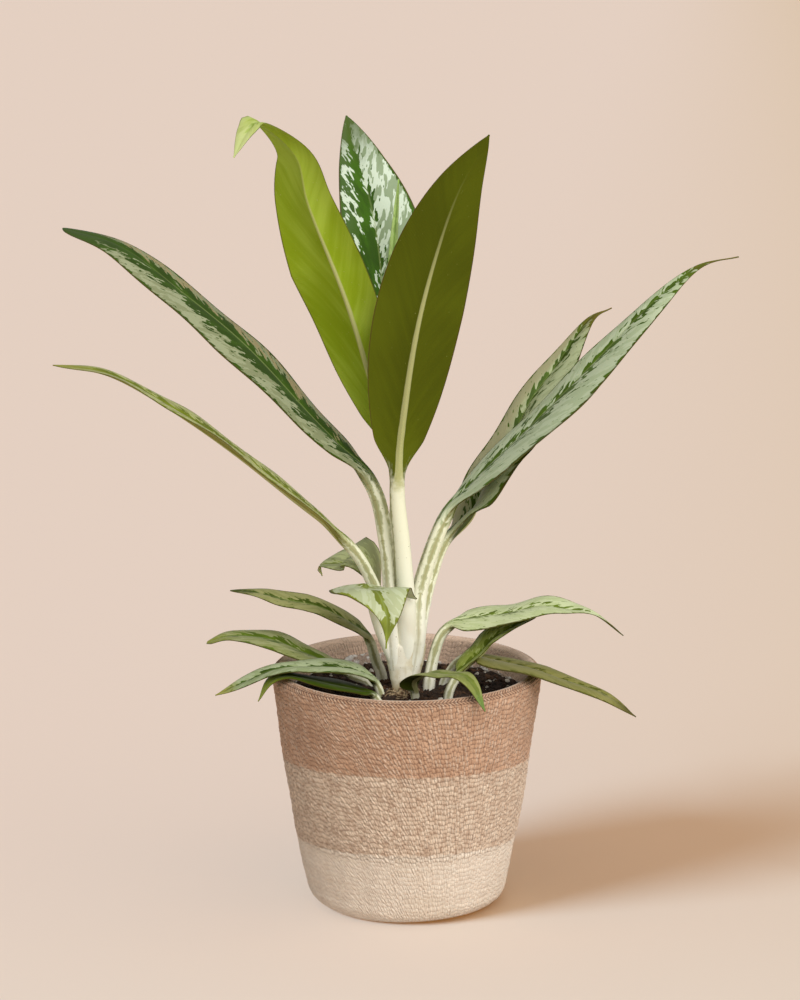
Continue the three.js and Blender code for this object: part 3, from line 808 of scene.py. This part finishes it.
def leaf_finish(leaf):
    """A leaf's stalk, the upper side of its blade and its underside, in one finish."""
    finish = Finish(leaf["name"] + "_finish")
    spot = Spot(*finish.parts(finish.attribute("leaf_place")),
                *finish.parts(finish.attribute("leaf_zone")))
    mottle = leaf_noise(finish, MOTTLE, spot.distance, spot)
    blade = finish.mix(spot.under.above(0.3, 0.7), blade_top(leaf, finish, spot),
                       blade_underside(leaf, finish, spot))
    opened = (spot.s + mottle * 0.1 - spot.reach * 0.05).above(-0.07, 0.03)
    colour = finish.mix(opened, stalk_colour(finish, spot, mottle), blade)
    vein = spot.distance - VEIN_SLANT * abs(spot.across)
    ridges = sine(vein * (math.tau / FINE_VEINS))
    skin = leaf_noise(finish, SKIN, spot.distance, spot)
    return finish.close(Base_Color=colour, Roughness=0.42 + spot.under * 0.14,
                        Specular_IOR_Level=0.12,
                        Normal=finish.bump(ridges * 0.2 + skin * 0.5, 0.14, 0.0004))


def leaf_piece(leaf, number):
    points, place, zone = leaf_surface(leaf, number)
    bm, ring, turn = skinned(points)
    piece = piece_from(bm, leaf["name"] + "_piece", leaf_finish(leaf), "leaf", leaf["name"])
    keep_vectors(piece, "leaf_place", place[ring, turn])
    keep_vectors(piece, "leaf_zone", zone[ring, turn])
    piece.data.set_sharp_from_angle(angle=math.radians(70))
    return piece


def inner_radius(z):
    """The radius of the basket's inner wall at a height."""
    low, high = BASE_RADIUS - WALL, RIM_RADIUS - 2 * RIM_ROLL
    share = (z - BASE_CORNER) / (BASKET_HEIGHT - RIM_ROLL - BASE_CORNER)
    return low + (high - low) * share


def arc(centre, radius, start, end, steps):
    angles = [math.radians(start + (end - start) * k / steps) for k in range(steps + 1)]
    return [(centre[0] + radius * math.cos(a), centre[1] + radius * math.sin(a)) for a in angles]


def basket_outline():
    """The basket's wall in section, from under its middle, up the outside, over the rim and down
    the inside to the soil: points a quarter of a row apart, the way each faces, and the row at
    which the rim begins."""
    corner = arc((BASE_RADIUS - BASE_CORNER, BASE_CORNER), BASE_CORNER, -90, 0, 12)
    rim = arc((RIM_RADIUS - RIM_ROLL, BASKET_HEIGHT - RIM_ROLL), RIM_ROLL, 0, 180, 16)
    line = np.array([(AXIS_HOLE, 0)] + corner + rim + [(inner_radius(INSIDE_LOW), INSIDE_LOW)])
    gaps = np.linalg.norm(np.diff(line, axis=0), axis=1)
    lengths = np.concatenate([[0], np.cumsum(gaps)])
    even = np.arange(0, lengths[-1], ROW / POINTS_A_ROW)
    points = np.stack([np.interp(even, lengths, line[:, k]) for k in (0, 1)], axis=1)
    wall = (even > lengths[len(corner)]) & (even < lengths[1 + len(corner) + len(rim) // 2])
    share = np.clip((points[:, 1] - BASE_CORNER) / (BASKET_HEIGHT - BASE_CORNER), 0, 1)
    points[:, 0] += np.where(wall, BELLY * np.sin(np.pi * share ** 0.7), 0)
    ahead = np.gradient(points, axis=0)
    ahead /= np.linalg.norm(ahead, axis=1)[:, None]
    facing = np.stack([ahead[:, 1], -ahead[:, 0]], axis=1)
    return points, facing, lengths[1 + len(corner)] / ROW


def whole(value):
    return value.math("FLOOR", value) if isinstance(value, Value) else np.floor(value)


def sine(value):
    return value.math("SINE", value) if isinstance(value, Value) else np.sin(value)


def between(value, low, high):
    """1 where the value lies between low and high, and 0 outside them."""
    if isinstance(value, Value):
        return value.above(low - EDGE, low + EDGE) * value.below(high - EDGE, high + EDGE)
    return (smoothstep((value - low) / (2 * EDGE) + 0.5)
            * (1 - smoothstep((value - high) / (2 * EDGE) + 0.5)))


def bulge(value):
    """A hump over each whole step of a value: 0 at its ends and 1 in its middle."""
    share = value - whole(value)
    return abs(4 * share * (1 - share)) ** 0.5


def slant(turn):
    """How many stitches a row leans: to the left at the left and front, to the right at the right."""
    return 0.15 - 0.95 * sine(turn - 0.35)


def stitches(column, row, rim):
    """How far the yarn stands out, from 0 to 1, and how near the middle of its row it lies. Rows of
    uneven knots climb the wall, crossed by slanted strands. A braid of sideways V stitches runs round
    under the rim, and the rim itself is smooth. The mesh takes it point by point, and the yarn's
    finish works it out again from the same two values."""
    turn = column * (math.tau / COLUMNS)
    up = row + KNOT_STEP * sine(whole(column * KNOTS) * 2.7)
    for size, waves, twist in ROW_WAVES:
        up = up + size * sine(turn * waves + row * twist)
    level = whole(up)
    swayed = column + STITCH_SWAY * sine(turn * 27 + level * 2.4)
    across = swayed + slant(turn) * (up - level - 0.5)
    strands = bulge(across * STRANDS + level * STRAND_SHIFT)
    knots = bulge(across * KNOTS + level * KNOT_SHIFT)
    middle = bulge(up)
    plain = (0.4 + 0.6 * strands) * (0.5 + 0.5 * knots) * (0.35 + 0.65 * middle)
    depth = (rim + CHAIN_TOP - row) * CHAIN_FINENESS
    chain = bulge(column * CHAIN_PITCH - CHAIN_POINT * abs(depth - 1)) ** 2 * bulge(depth)
    in_chain = between(depth, 0, 2)
    in_rim = between(row, rim + CHAIN_TOP, rim + RIM_ROWS)
    height = plain * (1 - in_chain) * (1 - in_rim) + chain * in_chain + RIM_HEIGHT * in_rim
    return height, middle


def basket_band(name, outside, inside, rim, finish):
    """A closed part of the basket's wall. outside is its rings of stitches and inside the smooth
    rings that close it, each a radius, a height, the way it faces, its row and the share of the
    stitches' depth that shows."""
    rings = np.array(outside + inside)
    around = COLUMNS * POINTS_A_STITCH
    capped = bool(rings[-1][0] <= AXIS_HOLE)
    bm, ring, turn = sleeve(len(rings), around, capped)
    radius, height, out, up, row, shown = rings[ring].T
    angle = turn * (math.tau / around)
    column = turn / POINTS_A_STITCH - COLUMNS / 2
    relief = stitches(column, row, rim)[0]
    uneven = 0.85 + 0.15 * np.sin(np.floor(column) * 314 + np.floor(row) * 136)
    sway = SWAY * np.sin(angle * 3 + height * 90)
    flat = 0.5 + 0.5 * smoothstep((height - BAND_LOW) / ROW)
    moved = ((relief * uneven * flat - 0.5) * STITCH_DEPTH + sway) * shown
    radius = radius + out * moved
    height = np.maximum(height + up * moved, 0)
    set_points(bm, np.stack([-radius * np.sin(angle), radius * np.cos(angle), height], axis=1))
    if not capped:
        bmesh.ops.bridge_loops(bm, edges=[e for e in bm.edges if e.is_boundary])
        bmesh.ops.recalc_face_normals(bm, faces=bm.faces)
    bm.verts.ensure_lookup_table()
    for edge in bm.edges:
        ends = [ring[v.index] for v in edge.verts]
        if ends in ([0, 0], [len(outside) - 1] * 2):
            edge.smooth = False
    piece = piece_from(bm, name, finish, "basket_weave", "basket")
    keep_vectors(piece, "stitch_place", np.stack([row, flat, out < 0], axis=1))


def basket_pieces():
    """The basket as three parts whose stitches run on from one to the next."""
    points, facing, rim = basket_outline()
    finish = basket_finish(rim)
    rows = np.arange(len(points)) / POINTS_A_ROW
    base = BASE_RADIUS - BASE_CORNER
    off_base = smoothstep((points[:, 0] - base) / ROW)
    above_soil = smoothstep((points[:, 1] - INSIDE_LOW) / ROW)
    shown = np.where(points[:, 1] < INSIDE_LOW, off_base, 1)
    shown = np.where(facing[:, 0] < 0, off_base * above_soil * INSIDE_RELIEF, shown)
    rings = [[*p, *f, r, s] for p, f, r, s in zip(points, facing, rows, shown)]
    low_end, top_start = [POINTS_A_ROW * round(int(np.argmax(points[:, 1] > z)) / POINTS_A_ROW)
                          for z in (CUT_LOW, CUT_TOP)]

    def smooth_ring(radius, z):
        return [radius, z, 0, 0, 0, 0]

    floor = [smooth_ring(inner_radius(BASE_CORNER), FLOOR), smooth_ring(AXIS_HOLE, FLOOR)]
    low, top = (smooth_ring(inner_radius(z), z) for z in (rings[low_end][1], rings[top_start][1]))
    under = [rings[0]] + [r for r in rings[:low_end + 1] if r[0] > base - 2 * ROW]
    basket_band("basket_low_band", under, [low] + floor, rim, finish)
    basket_band("basket_middle_band", rings[low_end:top_start + 1], [top, low], rim, finish)
    basket_band("basket_top_band", rings[top_start:], [top], rim, finish)


def basket_finish(rim):
    """Yarn in three bands, tan at the top, mottled beige, then cream. Thin strands that slant across
    the rows carry a painted highlight along their crests, and the pits between the stitches and rows
    are darkened as painted shade. The inside is finer, and lighter partly from its own paler yarn and
    partly from painted light."""
    finish = Finish("basket_yarn")
    row, raised, inside = finish.parts(finish.attribute("stitch_place"))
    place = finish.place()
    x, y, z = finish.parts(place)
    turn = x.math("ARCTAN2", x, -1 * y)
    column = turn * (COLUMNS / math.tau)
    yarn, middle = stitches(column, row, rim)
    chosen = finish.white_noise(whole(column + whole(row) * STRAND_SHIFT), whole(row), 0)
    broad = finish.noise(place, scale=45)
    mottle = finish.noise(place, scale=240)
    pair = row * 0.6 + 0.4 * sine(turn * 19)
    line = column * LONG_STRANDS + whole(pair) * LONG_SHIFT + slant(turn) * (pair - whole(pair)) * 2.2
    drawn = finish.white_noise(whole(line), whole(pair), 3)
    strand = bulge(line) ** 6 * drawn.above(0.35, 0.6) * bulge(pair)
    height = z + y * BAND_SLOPE + (mottle - 0.5) * 0.003
    lowest = height.below(BAND_LOW - BAND_EDGE, BAND_LOW + BAND_EDGE)
    highest = height.above(BAND_TOP - BAND_EDGE, BAND_TOP + BAND_EDGE)
    # The inside's colour is partly its own paler yarn and partly painted light
    tan = finish.coats(TAN, (chosen, TAN_PALE), (broad.above(0.4, 0.7) * 0.5, TAN_DEEP),
                       (inside, INSIDE_YARN_AND_PAINTED_LIGHT))
    beige = finish.coats(BEIGE, (chosen, BEIGE_PALE), (mottle.above(0.45, 0.62) * 0.6, BEIGE_DEEP))
    cream = finish.coats(CREAM, (chosen, CREAM_PALE), (broad.above(0.45, 0.7) * 0.4, CREAM_DEEP))
    # Painted highlight along the strands' crests
    shine = strand * (0.75 - highest * 0.3 - lowest * 0.35) * (1 - inside * 0.5)
    braid = between((rim + CHAIN_TOP - row) * CHAIN_FINENESS, 0, 2)
    # Painted shade: darker between the rows and, with the line below, in the pits between the stitches
    gap = middle.below(0.2, 0.85) * chosen.above(0.2, 0.8) * 0.62 * (1 - braid)
    painted_pit_shade = yarn.below(0.25, 0.8 - highest * 0.05).most(gap)
    painted_pit_shade = painted_pit_shade * (raised - 0.3 - inside * 0.4 + braid * 0.05)
    fibre = finish.noise(finish.vector(line * 5, row * 2.2, 8), detail=3, roughness=0.6)
    thread = fibre.below(0.3, 0.5) * 0.3 * (1 - lowest * 0.5)
    colour = finish.coats(beige, (lowest, cream), (highest, tan), (shine, STRAND_HIGHLIGHT),
                          (painted_pit_shade, finish.mix(highest, PIT_PAINTED_SHADE, TAN_PIT_PAINTED_SHADE)), (thread, FIBRE))
    relief = yarn * (1 - inside * 0.5) + strand * 0.7 + fibre * 0.6
    return finish.close(Base_Color=colour, Roughness=0.9, Sheen_Weight=0.1,
                        Normal=finish.bump(relief, 0.8, 0.0008))


def liner_piece():
    """The clear film between basket and soil, whose crinkled edge shows above the soil."""
    finish = Finish("liner_film_finish")
    place = finish.place()
    crinkle = finish.noise(place, scale=160, detail=3, distortion=1.5)
    glints = finish.noise(place, scale=190, detail=3).above(0.48, 0.6)
    film = finish.close(Base_Color=finish.mix(glints, FILM, GLINT), Roughness=0.22,
                        Alpha=0.3 + glints * 0.6, Normal=finish.bump(crinkle, 0.9, 0.002))
    heights = [FILM_BOTTOM + FILM_STEP * k for k in range(FILM_RINGS)]
    bm = spun([(inner_radius(h) - FILM_GAP, h) for h in heights], FILM_AROUND)
    for vertex in bm.verts:
        turn = math.atan2(vertex.co.y, vertex.co.x)
        share = (vertex.co.z - heights[0]) / (heights[-1] - heights[0])
        back = math.exp(-((turn - math.radians(FILM_HIGH_TURN)) / FILM_HIGH_SPREAD) ** 2)
        waves = sum(height * math.sin(turn * count) for height, count in FILM_WAVES)
        vertex.co.z += share * (FILM_HIGH * back - FILM_LOW + waves)
        pull = 1 - FILM_CREASE * share * (1 + math.sin(turn * 17 + 3 * math.sin(turn * 5)))
        vertex.co.x *= pull
        vertex.co.y *= pull
    bmesh.ops.solidify(bm, geom=bm.faces[:], thickness=FILM_THICKNESS)
    bmesh.ops.recalc_face_normals(bm, faces=bm.faces)
    return piece_from(bm, "liner_film_piece", film, "liner_film", "liner")


def soil_height(radius):
    share = min(1, radius / SOIL_RADIUS)
    return SOIL_EDGE + SOIL_MOUND * math.cos(share * math.pi / 2) ** 2


def soil_finish(name, dark, light, scale):
    finish = Finish(name)
    place = finish.place()
    grit = finish.noise(place, scale=scale, detail=4, roughness=0.65)
    fine = finish.noise(place, scale=scale * 4)
    return finish.close(Base_Color=finish.mix(grit.above(0.35, 0.7), dark, light), Roughness=0.95,
                        Normal=finish.bump(grit + fine * 0.5, 0.8, 0.001))


def soil_piece():
    """The mound of soil that fills the film, with an uneven, crumbly top."""
    edge = inner_radius(SOIL_EDGE) - SOIL_GAP
    radii = [edge * k / SOIL_RINGS for k in range(SOIL_RINGS + 1)]
    profile = [(radius, soil_height(radius)) for radius in radii]
    profile += [(inner_radius(z) - SOIL_GAP, z) for z in (0.08, 0.02)]
    profile += [(inner_radius(0.01) - 0.008, SOIL_FOOT), (0.0, SOIL_FOOT)]
    bm = spun(profile, SOIL_AROUND)
    for vertex in bm.verts:
        if vertex.co.z > SOIL_EDGE - 0.001:
            x, y = vertex.co.x, vertex.co.y
            lumps = math.sin(x * 310 + 2 * math.sin(y * 170)) * math.sin(y * 290 + x * 90)
            grains = math.sin(x * 1130 + y * 400) * math.sin(y * 1270 - x * 350)
            vertex.co.z += LUMP * lumps + GRAIN * grains
    bmesh.ops.recalc_face_normals(bm, faces=bm.faces)
    finish = soil_finish("soil_finish", dark=(34, 23, 16), light=(76, 53, 38), scale=320)
    return piece_from(bm, "soil_piece", finish, "potting_soil", "soil")


def soil_spot():
    """A random place on top of the soil, clear of the stem."""
    while True:
        x, y = chance.uniform(-1, 1) * SCATTER_SQUARE, chance.uniform(-1, 1) * SCATTER_SQUARE
        radius = math.hypot(x, y)
        if radius < SCATTER and math.hypot(x - STEM_FOOT[0], y - STEM_FOOT[1]) > STEM_CLEAR:
            return Vector((x, y, soil_height(radius)))


def joined(meshes):
    """One bmesh of several finished meshes."""
    bm = bmesh.new()
    for mesh in meshes:
        bm.from_mesh(mesh)
        bpy.data.meshes.remove(mesh)
    return bm


def placement(spot, turn, size):
    """The matrix that sizes a bit, turns it by angles about x, y and z, and moves it to its spot."""
    turned_bit = Euler(turn).to_matrix().to_4x4()
    return Matrix.Translation(spot) @ turned_bit @ Matrix.Diagonal((*size, 1))


def scattered(name, count, size, squash, finish, detail=1):
    """Crumbs of one kind, each a small uneven lump set into the top of the soil."""
    batches = []
    for _ in range(BATCHES):
        bm = bmesh.new()
        for _ in range(count // BATCHES):
            spot = soil_spot()
            radius = chance.uniform(*size)
            scale = (chance.uniform(0.8, 1.5), chance.uniform(0.7, 1.1), chance.uniform(*squash))
            turn = [chance.uniform(0, math.tau) for _ in range(3)]
            made = bmesh.ops.create_icosphere(bm, subdivisions=detail, radius=radius,
                                              matrix=placement(spot, turn, scale))
            for vertex in made["verts"]:
                push = 1 + chance.uniform(-0.18, 0.18)
                vertex.co = spot + (vertex.co - spot) * push
        batches.append(made_mesh(bm))
    return piece_from(joined(batches), name, finish, "potting_soil")


def bark_piece():
    """Chips of bark: flat, bevelled, lying every way on the soil."""
    bm = bmesh.new()
    for _ in range(CHIPS):
        spot = soil_spot()
        size = chance.uniform(0.002, 0.0048)
        turn = (chance.uniform(-0.5, 0.5), chance.uniform(-0.5, 0.5), chance.uniform(0, math.tau))
        matrix = placement(spot, turn, (size * 1.5, size, size * 0.35))
        made = bmesh.ops.create_cube(bm, size=1, matrix=matrix)
        edges = list({e for v in made["verts"] for e in v.link_edges})
        bevelled = bmesh.ops.bevel(bm, geom=edges, offset=size * 0.12, affect="EDGES", segments=1,
                                   profile=0.5, material=-1)
        for vertex in bevelled["verts"]:
            vertex.co += Vector([chance.uniform(-1, 1) * size * 0.06 for _ in range(3)])
    finish = soil_finish("bark_finish", dark=(62, 40, 26), light=(122, 88, 60), scale=260)
    return piece_from(bm, "bark_chips", finish, "potting_soil")


def tube(points, radii, around=6):
    """The mesh of a thin closed tube along points."""
    line = Line(points)
    rings = max(6, round(line.lengths[-1] / ROOT_STEP))
    length = np.linspace(0, line.lengths[-1], rings)
    centre, ahead = line.at_length(length)
    side = np.cross(ahead, OFF_ROOTS)
    side /= np.linalg.norm(side, axis=1)[:, None]
    up = np.cross(side, ahead)
    radius = np.interp(length, [0, line.lengths[-1]], radii)
    angles = np.arange(around) * math.tau / around
    ring_points = (centre[:, None] + radius[:, None, None]
                   * (side[:, None] * np.cos(angles)[None, :, None]
                      + up[:, None] * np.sin(angles)[None, :, None]))
    return made_mesh(skinned(ring_points)[0])


def roots_piece():
    """Dry brown roots and fibres that lie round the stem's foot, most of them to its front left."""
    made = []
    foot = Vector((*STEM_FOOT, 0))
    for k in range(ROOTS):
        if k < ROOTS_AT_FRONT:
            start = math.radians(150 + 150 * chance.random())
        else:
            start = chance.uniform(0, math.tau)
        points = []
        for step in range(5):
            reach = 0.0035 + step * chance.uniform(0.0016, 0.0034)
            heading = start + step * chance.uniform(-0.22, 0.22)
            spot = foot + Vector((math.cos(heading), math.sin(heading), 0)) * reach
            lift = 0.0045 * (1 - step / 4) ** 2 + 0.0012 * math.sin(step * 2 + k)
            points.append((spot.x, spot.y, soil_height(math.hypot(spot.x, spot.y)) + lift))
        made.append(tube(points, (0.00075 * chance.uniform(0.6, 1.3), 0.0003)))
    finish = soil_finish("root_finish", dark=(104, 76, 50), light=(206, 182, 146), scale=420)
    return piece_from(joined(made), "dry_roots", finish, "potting_soil")


def stem_finish():
    finish = Finish("stem_finish")
    place = finish.place()
    x, y, z = finish.parts(place)
    blotches = finish.noise(place, scale=120, detail=3)
    stretched = finish.noise(finish.vector(x * 420, y * 420, z * 60), detail=3)
    dots = finish.noise(place, scale=900, detail=1)
    # On the stem's right side: partly its own translucent brown, partly painted shade where the
    # sheaths cross
    right = (x + (blotches - 0.5) * 0.016).above(0.001, 0.009)
    foot = (z + (blotches - 0.5) * 0.01).below(0.142, 0.15)
    colour = finish.coats(STEM_PALE, (blotches.above(0.4, 0.75), STEM_BLOTCH),
                          (stretched.above(0.55, 0.8) * 0.4, STEM_STREAK),
                          (dots.above(0.72, 0.75) * 0.6, STEM_SPECK),
                          (right * z.below(0.172, 0.182) * 0.55, STEM_STAIN_AND_SHADE),
                          (foot * 0.6, STEM_EARTH))
    return finish.close(Base_Color=colour, Roughness=0.42,
                        Normal=finish.bump(stretched, 0.2, 0.0006))


def stem_piece():
    """The bundle of sheaths: an oval stem that widens upwards and closes over at its top."""
    rings, around = 48, 64
    share = np.linspace(0, 1, rings)
    rise = STEM_BOTTOM + (STEM_TOP - STEM_BOTTOM) * share
    spread = smoothstep(share)
    angles = np.arange(around) * math.tau / around
    centre = np.array(STEM_FOOT) + np.outer(spread, np.subtract(STEM_TOP_CENTRE, STEM_FOOT))
    radius = np.array(STEM_FOOT_RADIUS) + np.outer(
        spread, np.subtract(STEM_TOP_RADIUS, STEM_FOOT_RADIUS))
    closing = np.sqrt(np.clip(1 - (np.clip((share - 0.9) / 0.1, 0, 1)) ** 3, 0.02, 1))
    off_joints = (share[:, None] - np.array(STEM_JOINTS)) / 0.02
    joints = 1 + 0.03 * np.exp(-(off_joints ** 2)).sum(1)
    radius = radius * (closing * joints)[:, None]
    lobes = 1 + 0.04 * np.cos(angles * 3 + 0.6)
    points = np.stack([
        centre[:, :1] + radius[:, :1] * (np.cos(angles) * lobes)[None, :],
        centre[:, 1:] + radius[:, 1:] * (np.sin(angles) * lobes)[None, :],
        np.broadcast_to(rise[:, None], (rings, around)),
    ], axis=2)
    return piece_from(skinned(points)[0], "stem_piece", stem_finish(), "stem", "main_stem")


def floor_piece():
    """A plain pale floor that reaches far enough back to be the backdrop as well. Its colour has
    painted shade, darker and warmer towards the right, and painted light, lighter towards the front.
    """
    bm = bmesh.new()
    bmesh.ops.create_grid(bm, x_segments=2, y_segments=2, size=15,
                          matrix=Matrix.Translation((0, 6, 0)))
    mesh = made_mesh(bm)
    finish = Finish("floor_finish")
    x, y = finish.parts(finish.place())[:2]
    # Painted shade towards the right and painted light towards the front
    colour = finish.coats(FLOOR_LEFT, ((x - y * 0.1).above(-0.2, 0.9), FLOOR_RIGHT_PAINTED_SHADE),
                          (y.below(-0.6, 0.2), FLOOR_FRONT_PAINTED_LIGHT))
    mesh.materials.append(finish.close(Base_Color=colour, Roughness=0.9, Specular_IOR_Level=0))
    floor = placed("floor", mesh)
    return floor


def sun(floor, name, towards, strength, colour, softness, lights, casts):
    """A soft, even light from one direction. It lights either the floor or the plant alone, so that
    the shadow on the floor and the shading of the plant can each follow the photograph."""
    data = bpy.data.lights.new(name, "SUN")
    data.energy = strength
    data.color = colour
    data.angle = math.radians(softness)
    lamp = placed(name, data)
    lamp.rotation_euler = Vector(towards).to_track_quat("Z", "Y").to_euler()
    lit = bpy.data.collections.new(name + "_lights")
    lit.objects.link(floor)
    lit.collection_objects[0].light_linking.link_state = "INCLUDE" if lights == "floor" else "EXCLUDE"
    lamp.light_linking.receiver_collection = lit
    if not casts:
        blockers = bpy.data.collections.new(name + "_blockers")
        blockers.objects.link(floor)
        lamp.light_linking.blocker_collection = blockers


def camera():
    """The photograph's view: two metres away, a little above the leaves, looking slightly down."""
    data = bpy.data.cameras.new("camera")
    data.sensor_fit = "VERTICAL"
    data.sensor_height = SENSOR
    data.lens = LENS
    data.clip_end = 20
    view = placed("camera", data)
    view.location = CAMERA_PLACE
    view.rotation_euler = (math.radians(90 - CAMERA_DOWN), 0, 0)
    bpy.context.scene.camera = view


def studio():
    floor = floor_piece()
    camera()
    for settings in SUNS:
        sun(floor, *settings)
    world = bpy.data.worlds.new("world")
    world.use_nodes = True
    background = world.node_tree.nodes["Background"]
    background.inputs["Color"].default_value = (*WARM_WHITE, 1)
    background.inputs["Strength"].default_value = SKY
    bpy.context.scene.world = world
    bpy.context.scene.view_settings.view_transform = "Standard"


studio()
basket_pieces()
liner_piece()
soil_piece()
scattered("soil_crumbs", count=1500, size=(0.0007, 0.0019), squash=(0.6, 1.0),
          finish=soil_finish("crumb_finish", dark=(40, 27, 19), light=(92, 64, 44), scale=500))
scattered("perlite", count=90, size=(0.0005, 0.0021), squash=(0.8, 1.1), detail=2,
          finish=soil_finish("perlite_finish", dark=(214, 206, 192), light=(244, 240, 230),
                             scale=600))
bark_piece()
roots_piece()
stem_piece()
for number, leaf in enumerate(LEAVES):
    leaf_piece({**USUAL, **leaf}, number)
